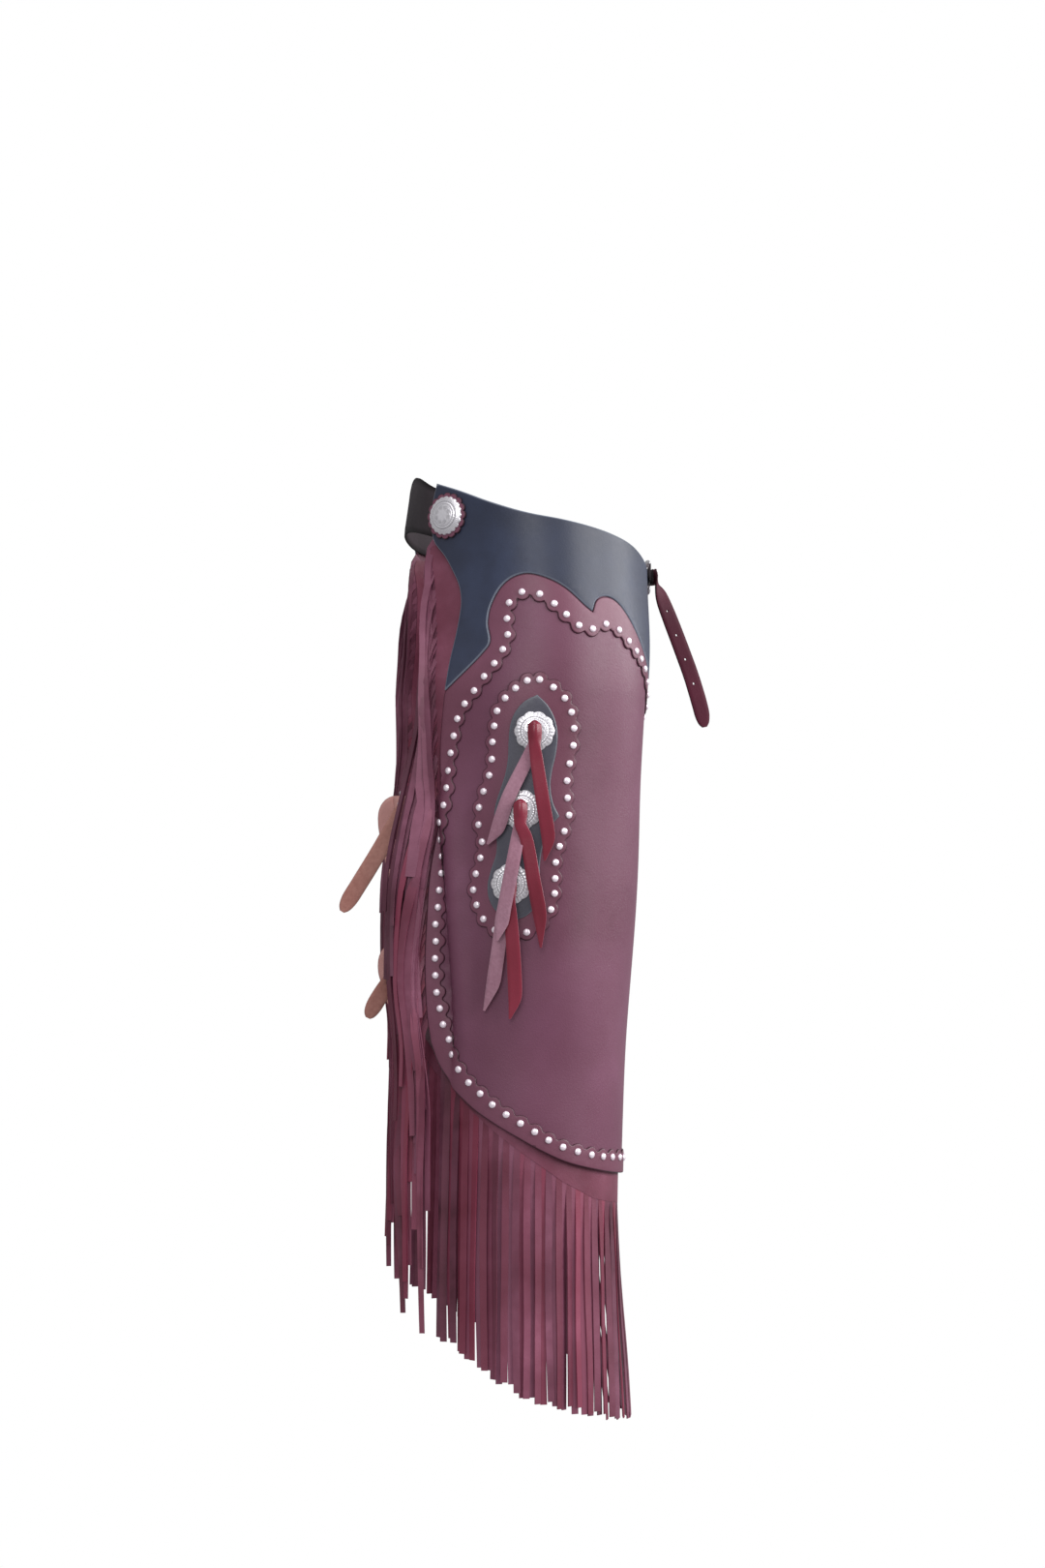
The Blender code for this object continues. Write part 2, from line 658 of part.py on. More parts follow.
# The tails of the three strings on the plaque, from the knot to the slanted tip.
#     s      z       off   width
THONGS = (
    (((-23.5, -235.0, 13.0, 12.0), (-39.5, -275.0, 14.5, 13.0),
      (-48.5, -303.5, 12.0, 13.0), (-57.5, -318.0, 11.0, 2.0)),
     ((-17.5, -240.0, 16.5, 12.0), (-11.5, -277.0, 15.5, 13.0),
      (-5.5, -312.0, 12.5, 13.0), (-8.0, -333.0, 11.0, 2.0))),
    (((-29.5, -304.0, 12.5, 12.0), (-33.5, -340.0, 21.5, 13.0), (-38.5, -375.0, 20.5, 13.0),
      (-41.0, -391.0, 18.0, 13.0), (-44.5, -407.0, 16.5, 2.0)),
     ((-23.5, -312.0, 16.5, 12.0), (-17.0, -350.0, 17.0, 13.0),
      (-10.5, -384.0, 14.5, 13.0), (-8.5, -414.0, 12.0, 2.0))),
    (((-40.0, -375.0, 10.5, 12.0), (-45.5, -420.0, 9.5, 13.0),
      (-49.5, -448.0, 8.5, 13.0), (-57.0, -473.0, 7.5, 2.0)),
     ((-34.5, -383.0, 14.5, 12.0), (-31.6, -415.0, 12.5, 13.0),
      (-28.7, -460.0, 10.0, 13.0), (-33.0, -480.0, 9.5, 2.0))),
)


def back_belt():
    """The belt behind, from inside one yoke's rear end round to the other's."""
    thick, gap = 3.0, 0.7
    right = []
    for s, top, bottom in ((-102.0, 12.0, -34.0), (-118.0, 17.0, -30.0),
                           (-134.0, 23.0, -26.0)):
        middle = (top + bottom) / 2
        right.append([on_wall(s, z, -gap - t) for z, t in
                      ((bottom, thick), (middle, thick), (top, thick),
                       (top, 0.0), (middle, 0.0), (bottom, 0.0))])
    ends = right[-1]
    for share in (0.2, 0.4, 0.6, 0.8, 1.0):
        column = []
        for k, (lift, back_y) in enumerate(((-15.0, 120.0), (12.0, 115.5), (39.0, 111.0),
                                            (39.0, 114.0), (12.0, 118.5), (-15.0, 123.0))):
            p0 = ends[k]
            way = right[2][k] - right[1][k]
            way[2] = 0.0
            way /= np.linalg.norm(way)
            p1 = p0 + way * 14.0
            p1[2] += (lift - p0[2]) * 0.35
            p2 = np.array([-45.0, back_y, lift])
            p3 = np.array([0.0, back_y, lift])
            a, b = 1 - share, share
            column.append(a ** 3 * p0 + 3 * a * a * b * p1 + 3 * a * b * b * p2 + b ** 3 * p3)
        right.append(column)
    mirror = [[p * np.array([-1.0, 1.0, 1.0]) for p in column] for column in right[-2::-1]]
    every = right + mirror
    points = [p for column in every for p in column]
    faces = [(5, 4, 1, 0), (4, 3, 2, 1)]
    for i in range(len(every) - 1):
        for k in range(6):
            a, b = 6 * i + k, 6 * i + (k + 1) % 6
            faces.append((a, b, b + 6, a + 6))
    last = 6 * (len(every) - 1)
    faces += [(last, last + 1, last + 4, last + 5), (last + 1, last + 2, last + 3, last + 4)]
    add_body("back_belt", points, faces, "black_leather")


def front_fastening():
    place, ez = buckle("front_buckle", (-5.0, -118.6, -57.0), (1, 0, 0), (0, -1, 0), 1,
                       rim=8.0)
    chape("front_chape", [on_wall(156, -54, 7.4), on_wall(178, -56, 6.8)], place, ez, 1)
    up = np.array([0.0, 0.0, 1.0])
    mirror = np.array([-1.0, 1.0, 1.0])
    stations = [(on_wall(s, z, off) * mirror, up, 16.0)
                for s, z, off in ((150, -54, 7.4), (169, -56, 7.2), (188, -57, 6.6))]
    stations += [(place(x, n), up, 16.0) for x, n in THROUGH]
    tail = (
        ((-24.0, -123.4, -57.5), (-0.10, 0.00, 0.99), 16.0),
        ((-28.0, -124.2, -61.0), (-0.45, 0.15, 0.85), 16.0),
        ((-30.5, -126.0, -68.0), (-0.56, 0.50, 0.45), 16.0),
        ((-32.0, -130.0, -81.0), (-0.42, 0.84, 0.05), 16.0),
        ((-33.5, -137.5, -101.0), (-0.28, 0.90, -0.28), 16.0),
        ((-35.0, -148.0, -129.0), (-0.22, 0.91, -0.32), 16.0),
        ((-36.0, -158.0, -157.0), (-0.20, 0.92, -0.30), 16.0),
        ((-37.0, -166.5, -186.0), (-0.20, 0.94, -0.25), 16.0),
        ((-37.2, -169.2, -198.0), (-0.20, 0.95, -0.18), 13.0),
        ((-37.2, -170.6, -206.0), (-0.20, 0.96, -0.14), 5.0),
    )
    stations += [(np.array(p), np.array(w), wide) for p, w, wide in tail]
    ribbon("front_strap", stations, 2.2, "burgundy_leather")


def leg_fastening(level, height, tail, side, word):
    """The strap behind a leg, its buckle near the wall's rear edge and its free tail."""
    base = "leg_%s_" + level + "_" + word
    up = np.array([0.0, 0.0, 1.0])
    place, ez = buckle(base % "buckle", (-103.0, 118.0, height), (1, -0.04, 0), (0, 1, 0),
                       side)
    lead = [on_wall(-98, height, -4.2), on_wall(-112, height, -4.6),
            np.array([-142.5, 108.5, height]), np.array([-131.5, 113.8, height])]
    chape(base % "chape", lead, place, ez, side)
    stations = [(on_wall(s, height, off), up, 16.0)
                for s, off in ((204, -2.3), (214, -2.2), (226, -2.0))]
    way = ((-13.0, -31.0), (-8.5, -8.0), (-8.5, 20.0), (-14.0, 50.0), (-26.0, 78.0),
           (-45.0, 100.0), (-68.0, 111.5))
    stations += [(np.array([x, y, height]), up, 16.0) for x, y in way]
    stations += [(place(x, n), up, 16.0) for x, n in THROUGH]
    stations += [(np.array(p), np.array(w), wide) for p, w, wide in tail]
    ribbon(base % "strap", stations, 2.2, "natural_leather", side)


# The tails' free ends: the right leg's stand off behind, the left leg's hang down.
#        middle                   width direction      width
TAILS = {
    ("upper", "right"): (
        ((-117.0, 128.0, -284.0), (0.00, 0.00, 1.00), 16.0),
        ((-118.0, 134.0, -288.5), (0.00, 0.45, 0.90), 16.0),
        ((-119.5, 141.5, -300.0), (0.00, 0.75, 0.60), 16.0),
        ((-122.0, 158.0, -328.0), (0.00, 0.85, 0.52), 16.0),
        ((-124.0, 176.0, -357.0), (0.00, 0.85, 0.52), 16.0),
        ((-125.5, 188.0, -376.0), (0.00, 0.85, 0.52), 13.0),
        ((-126.0, 192.0, -382.5), (0.00, 0.85, 0.52), 6.0),
    ),
    ("lower", "right"): (
        ((-117.0, 128.0, -434.0), (0.00, 0.00, 1.00), 16.0),
        ((-118.0, 134.5, -437.5), (0.00, 0.45, 0.90), 16.0),
        ((-119.0, 143.0, -446.0), (0.00, 0.70, 0.70), 16.0),
        ((-120.0, 155.0, -462.0), (0.00, 0.85, 0.52), 16.0),
        ((-120.5, 164.0, -477.0), (0.00, 0.88, 0.48), 13.0),
        ((-120.5, 167.0, -483.0), (0.00, 0.88, 0.48), 6.0),
    ),
    ("upper", "left"): (
        ((-117.0, 128.5, -284.0), (0.00, 0.00, 1.00), 16.0),
        ((-118.0, 132.5, -290.5), (0.00, 0.60, 0.80), 16.0),
        ((-119.0, 133.0, -304.0), (0.00, 0.97, 0.15), 16.0),
        ((-120.0, 127.0, -335.0), (0.00, 0.99, -0.12), 16.0),
        ((-120.5, 121.5, -366.0), (0.00, 0.99, -0.12), 16.0),
        ((-120.5, 120.3, -378.0), (0.00, 0.99, -0.10), 13.0),
        ((-120.5, 119.8, -384.0), (0.00, 0.99, -0.10), 6.0),
    ),
    ("lower", "left"): (
        ((-117.0, 128.5, -434.0), (0.00, 0.00, 1.00), 16.0),
        ((-118.0, 132.5, -440.5), (0.00, 0.60, 0.80), 16.0),
        ((-119.0, 133.0, -454.0), (0.00, 0.97, 0.15), 16.0),
        ((-120.0, 126.5, -474.0), (0.00, 0.99, -0.12), 16.0),
        ((-120.0, 125.5, -484.0), (0.00, 0.99, -0.10), 13.0),
        ((-120.0, 125.0, -490.0), (0.00, 0.99, -0.10), 6.0),
    ),
}


for default in list(bpy.data.objects):
    bpy.data.objects.remove(default, do_unlink=True)

for side, word in ((1, "right"), (-1, "left")):
    panel_outline = ([(-126, 22)] + [(s, z - 3) for s, z in YOKE_TOP[1:]] + YOKE_FRONT
                     + WALL_INNER[-2::-1] + HEM[-2::-1] + WALL_REAR[-2::-1] + YOKE_REAR[1:])
    leather("leg_panel_" + word, panel_outline, *PANEL, "burgundy_leather", side)
    leather("yoke_" + word, YOKE_TOP + YOKE_FRONT + YOKE_LOW + YOKE_REAR[0:], *YOKE,
            "black_leather", side)
    low_edge = shifted([(228, -183)] + YOKE_LOW, 0.8)
    outer_edge = low_edge + WALL_REAR[1:] + HEM[1:]
    inner_edge = scallops(SPOTS, 7.6)
    border = outer_edge + inner_edge[::-1]
    leather("border_" + word, border, *BORDER, "burgundy_leather", side)
    leather("plaque_" + word, scallops(PLAQUE_SPOTS, 7.6, closed=True), *PLAQUE,
            "burgundy_leather", side)
    leather("plaque_inlay_" + word, INLAY, *INLAID, "black_leather", side)
    for number, (s, z) in enumerate(CONCHOS, 1):
        base, axes = seat(s, z, INLAID[1] + 0.3, 19.0)
        turned("concho_%d_%s" % (number, word),
               ((18.4, 0.0, 0.045), (18.4, 1.2, 0.045), (13.0, 3.4, 0.0), (6.0, 4.6, 0.0)),
               base, axes, "silver", side)
    for number in (1, 2, 3):
        thong("thong_%d_%s" % (number, word), CONCHOS[number - 1], THONGS[number - 1], side)
    base, axes = seat(-114.0, -7.0, YOKE[1] + 0.3, 22.0)
    turned("hip_rosette_" + word, ((22.0, 0.0, 0.05), (22.0, 1.8, 0.05)), base, axes,
           "burgundy_leather", side)
    turned("hip_concho_" + word,
           ((18.6, 0.0, 0.03), (18.6, 1.2, 0.03), (13.5, 4.6, 0.0), (6.0, 6.6, 0.0)),
           base + axes[2] * 2.1, axes, "silver", side)
    rear_fringe("rear_fringe_" + word, side)
    hem_fringe("hem_fringe_" + word, side)
    leg_fastening("upper", -282.0, TAILS["upper", word], side, word)
    leg_fastening("lower", -432.0, TAILS["lower", word], side, word)

back_belt()
front_fastening()
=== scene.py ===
import math

import bpy
import numpy as np
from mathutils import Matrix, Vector
from mathutils.geometry import delaunay_2d_cdt


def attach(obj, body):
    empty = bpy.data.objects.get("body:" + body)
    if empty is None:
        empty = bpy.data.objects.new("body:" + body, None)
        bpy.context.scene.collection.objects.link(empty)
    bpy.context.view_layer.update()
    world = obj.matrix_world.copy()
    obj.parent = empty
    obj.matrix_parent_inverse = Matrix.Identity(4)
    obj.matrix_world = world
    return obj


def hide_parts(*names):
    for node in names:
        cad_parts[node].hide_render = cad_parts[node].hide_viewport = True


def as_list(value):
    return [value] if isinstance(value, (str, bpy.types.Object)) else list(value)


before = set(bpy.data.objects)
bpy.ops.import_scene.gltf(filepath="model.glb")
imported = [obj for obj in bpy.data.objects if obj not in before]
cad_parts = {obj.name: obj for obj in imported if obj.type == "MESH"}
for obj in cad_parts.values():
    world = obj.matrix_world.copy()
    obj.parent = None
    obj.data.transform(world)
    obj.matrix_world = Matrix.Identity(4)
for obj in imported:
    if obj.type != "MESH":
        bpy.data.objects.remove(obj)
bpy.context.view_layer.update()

MM = 0.001

# The wall of a leg, with the sizes of the model it dresses, in mm.
#       height  middle x  middle y  half width  half depth  leaves at (degrees)
FORM = (
    (60.0,      0.0,      0.0,      150.0,      112.0,      122.0),
    (0.0,      -3.0,      0.0,      159.0,      112.0,      122.0),
    (-60.0,   -22.0,     -2.0,      152.0,      107.0,      122.0),
    (-120.0,  -62.0,     -1.0,      124.0,      105.0,      122.0),
    (-180.0,  -92.0,      4.0,      100.0,      104.0,      122.0),
    (-300.0,  -98.0,      8.5,       95.0,      101.0,      123.0),
    (-440.0, -100.0,     12.5,       92.0,       98.0,      124.0),
    (-640.0, -104.0,     19.5,       88.0,       94.0,      125.0),
    (-900.0, -107.0,     21.5,       96.0,      110.0,      125.0),
)
REAR_EDGE = ((60.0, -124.0), (25.0, -126.0), (-16.0, -134.5), (-31.0, -132.0),
             (-46.0, -120.5), (-64.0, -110.0), (-75.0, -104.5), (-90.0, -101.5),
             (-108.0, -103.0), (-140.0, -108.0), (-174.0, -110.0), (-216.0, -112.0),
             (-280.0, -113.0), (-345.0, -120.0), (-435.0, -121.0), (-480.0, -117.0),
             (-505.0, -112.0), (-900.0, -112.0))
CREASE = ((60.0, -98.0), (-225.0, -98.0), (-280.0, -112.0), (-326.0, -107.5),
          (-388.0, -101.5), (-444.0, -95.5), (-505.0, -88.0), (-900.0, -88.0))
CREASE_DEPTH = ((60.0, 0.0), (-225.0, 0.0), (-300.0, 0.7), (-360.0, 1.0), (-450.0, 1.0),
                (-505.0, 0.5), (-575.0, 0.0), (-900.0, 0.0))
#            s       z       width   height  push
DENTS = (
    (70.0,  -285.0,  45.0,   80.0,   -3.0),
    (25.0,  -430.0,  50.0,   60.0,    2.0),
    (95.0,  -480.0,  40.0,   70.0,   -2.5),
    (-10.0, -520.0,  45.0,   40.0,   -2.0),
    (150.0, -380.0,  40.0,   90.0,    2.0),
)
SIDE_LINE = math.radians(85.0)
ANGLES = np.radians(np.linspace(-115.0, 180.0, 591))


def unit(vectors):
    return vectors / np.linalg.norm(vectors, axis=-1, keepdims=True)


def ramp(value, low, high):
    """0 up to low, 1 from high on, and straight between them."""
    return min(max((value - low) / (high - low), 0.0), 1.0)


def column(table, k):
    """Heights and values of a table's column k, from the lowest row up."""
    return [row[0] for row in table][::-1], [row[k] for row in table][::-1]


def along(table, heights, k=1):
    return np.interp(heights, *column(table, k))


def curve(u, p1, m1, p2, m2):
    """The place at u, from 0 to 1, on a curve that leaves p1 along m1 and reaches p2 along m2."""
    return ((2 * u ** 3 - 3 * u ** 2 + 1) * p1 + (u ** 3 - 2 * u ** 2 + u) * m1
            + (3 * u ** 2 - 2 * u ** 3) * p2 + (u ** 3 - u ** 2) * m2)


def eased(table, height, k):
    """A smooth value of the table's column k, never beyond the rows on either side."""
    x, y = (np.array(c) for c in column(table, k))
    step = np.diff(x)
    slope = np.diff(y) / step
    tangent = np.zeros_like(y)
    tangent[0], tangent[-1] = slope[0], slope[-1]
    for i in range(1, len(x) - 1):
        if slope[i - 1] * slope[i] > 0:
            tangent[i] = 2 * slope[i - 1] * slope[i] / (slope[i - 1] + slope[i])
    i = int(np.clip(np.searchsorted(x, height) - 1, 0, len(x) - 2))
    u = (height - x[i]) / step[i]
    return curve(u, y[i], step[i] * tangent[i], y[i + 1], step[i] * tangent[i + 1])


# A fine grid of the wall: columns round the leg and rows down it, mm apart.
S_STEP, Z_STEP = 1.5, 3.0
S_GRID = np.arange(-225.0, 280.1, S_STEP)
Z_GRID = np.arange(75.0, -915.1, -Z_STEP)


def push_row(height, s):
    """How far the worn leather stands off the general form at one height."""
    valley, rear = float(along(CREASE, height)), float(along(REAR_EDGE, height))
    deep = float(along(CREASE_DEPTH, height))
    spots = (rear - 60.0, min(rear - 14.0, valley - 20.0), valley - 9.0, valley - 1.0,
             valley + 3.5, valley + 10.0, valley + 26.0, -46.0)
    value = deep * np.interp(s, spots, (7.0, 8.0, -2.0, -8.0, 3.0, 6.0, 2.0, 0.0))
    reach = np.exp(-(np.arange(-9, 10) * S_STEP / 2.0) ** 2)
    padded = np.pad(value, 9, mode="edge")
    value = np.convolve(padded, reach / reach.sum(), mode="valid")
    for s0, z0, width, tall, amount in DENTS:
        value += amount * np.exp(-((s - s0) / width) ** 2 - ((height - z0) / tall) ** 2)
    low = ramp(-height, 190.0, 310.0)
    value += low * (0.35 * np.sin(s / 23.0 + height / 61.0 + 1.3 * np.sin(height / 90.0))
                    + 0.25 * np.sin(s / 13.0 - height / 37.0 + 0.8)
                    + 0.22 * np.sin(height / 26.0 + 2.0 * np.sin(s / 55.0)))
    return value


def wall_grid():
    rows = []
    for height in Z_GRID:
        cx, cy, rx, ry, leave = (eased(FORM, height, k) for k in range(1, 6))
        leave = math.radians(leave)
        x, y = cx - rx * np.sin(ANGLES), cy - ry * np.cos(ANGLES)
        arc = np.concatenate([[0.0], np.cumsum(np.hypot(np.diff(x), np.diff(y)))])
        way = np.interp(SIDE_LINE, ANGLES, arc) - arc
        s_leave = np.interp(leave, ANGLES, way)
        angle = np.where(S_GRID < s_leave, leave, np.interp(-S_GRID, -way, ANGLES))
        nx, ny = -np.sin(angle) / rx, -np.cos(angle) / ry
        size = np.hypot(nx, ny)
        nx, ny = nx / size, ny / size
        free = np.maximum(s_leave - S_GRID, 0.0)
        off = push_row(height, S_GRID)
        px = cx - rx * np.sin(angle) + ny * free + nx * off
        py = cy - ry * np.cos(angle) - nx * free + ny * off
        rows.append(np.stack([px, py, np.full_like(px, height)], axis=1))
    place = np.array(rows)
    outward = unit(np.cross(np.gradient(place, axis=0), np.gradient(place, axis=1)))
    middle = int(np.argmin(np.abs(S_GRID)))
    if outward[0, middle, 0] > 0:
        outward = -outward
    return place, outward


WALL, OUTWARD = wall_grid()


def wall(s, z, off):
    """Points of the wall in mm, off mm outwards of the leg panel's inner face."""
    s, z, off = np.broadcast_arrays(np.asarray(s, float), np.asarray(z, float), np.asarray(off, float))
    u = np.clip((s - S_GRID[0]) / S_STEP, 0, len(S_GRID) - 1.001)
    v = np.clip((Z_GRID[0] - z) / Z_STEP, 0, len(Z_GRID) - 1.001)
    i, j = u.astype(int), v.astype(int)
    fu, fv = (u - i)[..., None], (v - j)[..., None]

    def mixed(grid):
        top = grid[j, i] * (1 - fu) + grid[j, i + 1] * fu
        low = grid[j + 1, i] * (1 - fu) + grid[j + 1, i + 1] * fu
        return top * (1 - fv) + low * fv

    return mixed(WALL) + mixed(OUTWARD) * off[..., None]


def hashed(*numbers):
    """A fixed number from 0 to 1 for each set of whole numbers."""
    value = 0.0
    for k, number in enumerate(numbers):
        value += number * (12.9898 + 65.233 * k)
    return (math.sin(value) * 43758.5453) % 1.0


# Materials

def rgb(r, g, b):
    """An sRGB colour of 0 to 255 as the linear one that shaders take."""
    out = []
    for c in (r, g, b):
        c = c / 255.0
        out.append(c / 12.92 if c <= 0.04045 else ((c + 0.055) / 1.055) ** 2.4)
    return (*out, 1.0)


class Nodes:
    def __init__(self, name):
        self.material = bpy.data.materials.new(name)
        self.material.use_nodes = True
        self.tree = self.material.node_tree
        self.shader = self.tree.nodes["Principled BSDF"]
        self.coords = self.add("ShaderNodeTexCoord").outputs["Object"]

    def add(self, kind, **values):
        node = self.tree.nodes.new(kind)
        for key, value in values.items():
            setattr(node, key, value)
        return node

    def fix(self, **numbers):
        """Sets the shader's own sockets, named as sheen_weight for Sheen Weight."""
        for key, number in numbers.items():
            self.shader.inputs[key.replace("_", " ").title()].default_value = number

    def link(self, out, into):
        self.tree.links.new(out, into)

    def noise(self, scale, detail=3.0):
        node = self.add("ShaderNodeTexNoise")
        node.inputs["Scale"].default_value = scale
        node.inputs["Detail"].default_value = detail
        self.link(self.coords, node.inputs["Vector"])
        return node.outputs["Fac"]

    def cells(self, scale):
        node = self.add("ShaderNodeTexVoronoi")
        node.inputs["Scale"].default_value = scale
        self.link(self.coords, node.inputs["Vector"])
        return node.outputs["Distance"]

    def spread(self, value, low, high, to_low=0.0, to_high=1.0):
        node = self.add("ShaderNodeMapRange")
        for key, number in (("From Min", low), ("From Max", high), ("To Min", to_low),
                            ("To Max", to_high)):
            node.inputs[key].default_value = number
        self.link(value, node.inputs["Value"])
        return node.outputs["Result"]

    def sum(self, a, b, share):
        node = self.add("ShaderNodeMath", operation="MULTIPLY_ADD")
        self.link(b, node.inputs[0])
        node.inputs[1].default_value = share
        self.link(a, node.inputs[2])
        return node.outputs[0]

    def attribute(self, name):
        node = self.add("ShaderNodeAttribute")
        node.attribute_name = name
        return node.outputs["Fac"]

    def mix(self, fac, a, b):
        node = self.add("ShaderNodeMix", data_type="RGBA")
        self.link(fac, node.inputs["Factor"])
        for value, socket in ((a, node.inputs[6]), (b, node.inputs[7])):
            if isinstance(value, tuple):
                socket.default_value = value
            else:
                self.link(value, socket)
        return node.outputs[2]

    def bump(self, height, distance):
        node = self.add("ShaderNodeBump")
        node.inputs["Strength"].default_value = 1.0
        node.inputs["Distance"].default_value = distance
        self.link(height, node.inputs["Height"])
        self.link(node.outputs["Normal"], self.shader.inputs["Normal"])


def leather_finish(name, dark, mid, light, rough, grain, rim=None, coat=0.0, patch=6.0,
                   tinted=None, specular=0.5):
    n = Nodes(name)
    broad = n.noise(patch, 4.0)
    colour = n.mix(n.spread(broad, 0.36, 0.64), dark, light)
    colour = n.mix(n.spread(n.noise(patch * 9, 3.0), 0.3, 0.7, 0.0, 0.55), colour, mid)
    if tinted:
        colour = n.mix(n.attribute("red"), colour, tinted)
        # Painted shade and light: the strands' lightness attribute darkens or lightens each strand,
        # partly at random and partly as painted shade and light between the fringe strands.
        tone_and_shade = n.attribute("tone_and_shade")
        colour = n.mix(n.spread(tone_and_shade, 0.0, 0.5, 0.75, 0.0), colour, dark)
        colour = n.mix(n.spread(tone_and_shade, 0.5, 1.0, 0.0, 0.75), colour, light)
    if rim:
        colour = n.mix(n.attribute("rim"), colour, rim)
    n.link(colour, n.shader.inputs["Base Color"])
    pores = n.cells(900.0)
    fine = n.sum(n.noise(420.0, 4.0), pores, 0.5)
    n.link(n.spread(n.sum(broad, n.noise(240.0), 0.5), 0.45, 1.05, rough - 0.07, rough + 0.09),
           n.shader.inputs["Roughness"])
    n.bump(fine, grain)
    n.fix(coat_weight=coat, coat_roughness=0.28)
    n.shader.inputs["Specular IOR Level"].default_value = specular
    return n.material


def suede_finish(name, dark, light):
    n = Nodes(name)
    nap = n.noise(300.0, 5.0)
    colour = n.mix(n.spread(n.sum(n.noise(14.0, 4.0), nap, 0.4), 0.45, 0.95), dark, light)
    n.link(colour, n.shader.inputs["Base Color"])
    n.link(n.spread(nap, 0.3, 0.7, 0.8, 0.95), n.shader.inputs["Roughness"])
    n.bump(nap, 0.0004)
    n.shader.inputs["Specular IOR Level"].default_value = 0.2
    n.fix(sheen_weight=0.25, sheen_roughness=0.5)
    return n.material


def silver_finish(name, bright, shade, rough, metallic):
    n = Nodes(name)
    wear = n.noise(160.0, 4.0)
    # The cut attribute darkens and roughens the silver: the darkened engraving of the grooves and
    # hollows, with painted shade in them, in the string slots and under the concho rims.
    cut = n.attribute("cut")
    colour = n.mix(n.spread(wear, 0.35, 0.7, 0.0, 0.35), bright, shade)
    colour = n.mix(cut, colour, rgb(104, 99, 106))
    n.link(colour, n.shader.inputs["Base Color"])
    n.fix(metallic=metallic)
    n.link(n.spread(n.sum(wear, cut, 0.4), 0.3, 1.0, rough, rough + 0.25),
           n.shader.inputs["Roughness"])
    n.bump(n.noise(700.0, 3.0), 0.00006)
    return n.material


BURGUNDY = leather_finish("burgundy_leather_grain", rgb(90, 46, 65), rgb(101, 56, 76),
                          rgb(111, 65, 88), 0.46, 0.00012, rim=rgb(86, 38, 58), specular=0.4)
FRINGE = leather_finish("burgundy_fringe_grain", rgb(68, 28, 42), rgb(102, 52, 70),
                        rgb(138, 84, 106), 0.48, 0.00012, tinted=rgb(142, 44, 68), patch=10.0,
                        specular=0.35)
# The trim's dark rim colour on the edges of the border, plaque and rosette is partly the burnished
# edge and partly painted shade round the raised scallops.
TRIM = leather_finish("burgundy_trim_grain", rgb(92, 48, 64), rgb(104, 58, 76),
                      rgb(116, 68, 88), 0.42, 0.0001, rim=rgb(46, 16, 28), specular=0.4)
STRAP = leather_finish("burgundy_strap_grain", rgb(56, 16, 30), rgb(68, 22, 38),
                       rgb(90, 34, 52), 0.55, 0.00012, rim=rgb(40, 10, 20), specular=0.12)
SUEDE = suede_finish("burgundy_leather_flesh", rgb(86, 56, 66), rgb(112, 80, 90))
YOKE_BLACK = leather_finish("black_leather_grain", rgb(23, 25, 37), rgb(33, 37, 54),
                            rgb(46, 54, 78), 0.46, 0.00008, rim=rgb(122, 128, 142),
                            coat=0.06, patch=4.0, specular=0.42)
INLAY_BLACK = leather_finish("black_inlay_grain", rgb(50, 49, 60), rgb(66, 65, 77),
                             rgb(84, 82, 95), 0.42, 0.00008, rim=rgb(100, 104, 112))
BELT_BLACK = leather_finish("brown_black_leather_grain", rgb(44, 39, 42), rgb(56, 50, 54),
                            rgb(72, 65, 69), 0.7, 0.00012, rim=rgb(26, 22, 24), specular=0.08)
SUEDE_DARK = suede_finish("black_leather_flesh", rgb(42, 39, 44), rgb(60, 57, 64))
TAN = leather_finish("natural_leather_grain", rgb(168, 116, 112), rgb(184, 132, 126),
                     rgb(198, 148, 142), 0.5, 0.00012, rim=rgb(120, 72, 66))
TAN_SUEDE = suede_finish("natural_leather_flesh", rgb(140, 92, 84), rgb(176, 130, 120))
STRING_RED = leather_finish("string_leather_grain", rgb(104, 18, 38), rgb(118, 26, 48),
                            rgb(138, 40, 62), 0.34, 0.00008, rim=rgb(150, 84, 96), coat=0.2,
                            specular=0.4)
STRING_MAUVE = suede_finish("string_leather_flesh", rgb(136, 94, 110), rgb(166, 126, 142))
SILVER = silver_finish("silver_engraved", rgb(240, 237, 242), rgb(198, 194, 202), 0.24, 0.7)
# The spots' pinkish white is a painted highlight with the painted reflection of the burgundy leather
# round them.
SPOT = silver_finish("silver_spot", rgb(246, 232, 242), rgb(226, 206, 218), 0.3, 0.5)


# Meshes

def piece(name, points, faces, finishes, side=1, picks=None, attributes=None, replaces=True,
          sharp=40.0):
    """A piece from points in mm and faces, instead of the solid of the same name.

    Side -1 makes the left leg's mirror image."""
    points = np.array(points, float) * np.array([side, 1.0, 1.0]) * MM
    volume = 0.0
    for face in faces:
        for k in range(1, len(face) - 1):
            volume += np.dot(points[face[0]], np.cross(points[face[k]], points[face[k + 1]]))
    if volume < 0:
        faces = [tuple(reversed(f)) for f in faces]
    mesh = bpy.data.meshes.new(name)
    mesh.from_pydata([tuple(p) for p in points], [], faces)
    for finish in finishes:
        mesh.materials.append(finish)
    if picks is not None:
        mesh.polygons.foreach_set("material_index", np.array(picks, dtype=np.int32))
    for key, values in (attributes or {}).items():
        layer = mesh.attributes.new(key, "FLOAT", "POINT")
        layer.data.foreach_set("value", np.array(values, dtype=np.float32))
    mesh.polygons.foreach_set("use_smooth", np.ones(len(mesh.polygons), dtype=bool))
    mesh.set_sharp_from_angle(angle=math.radians(sharp))
    mesh.update()
    obj = bpy.data.objects.new(name, mesh)
    bpy.context.collection.objects.link(obj)
    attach(obj, "root")
    if replaces:
        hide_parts(name)
    return obj


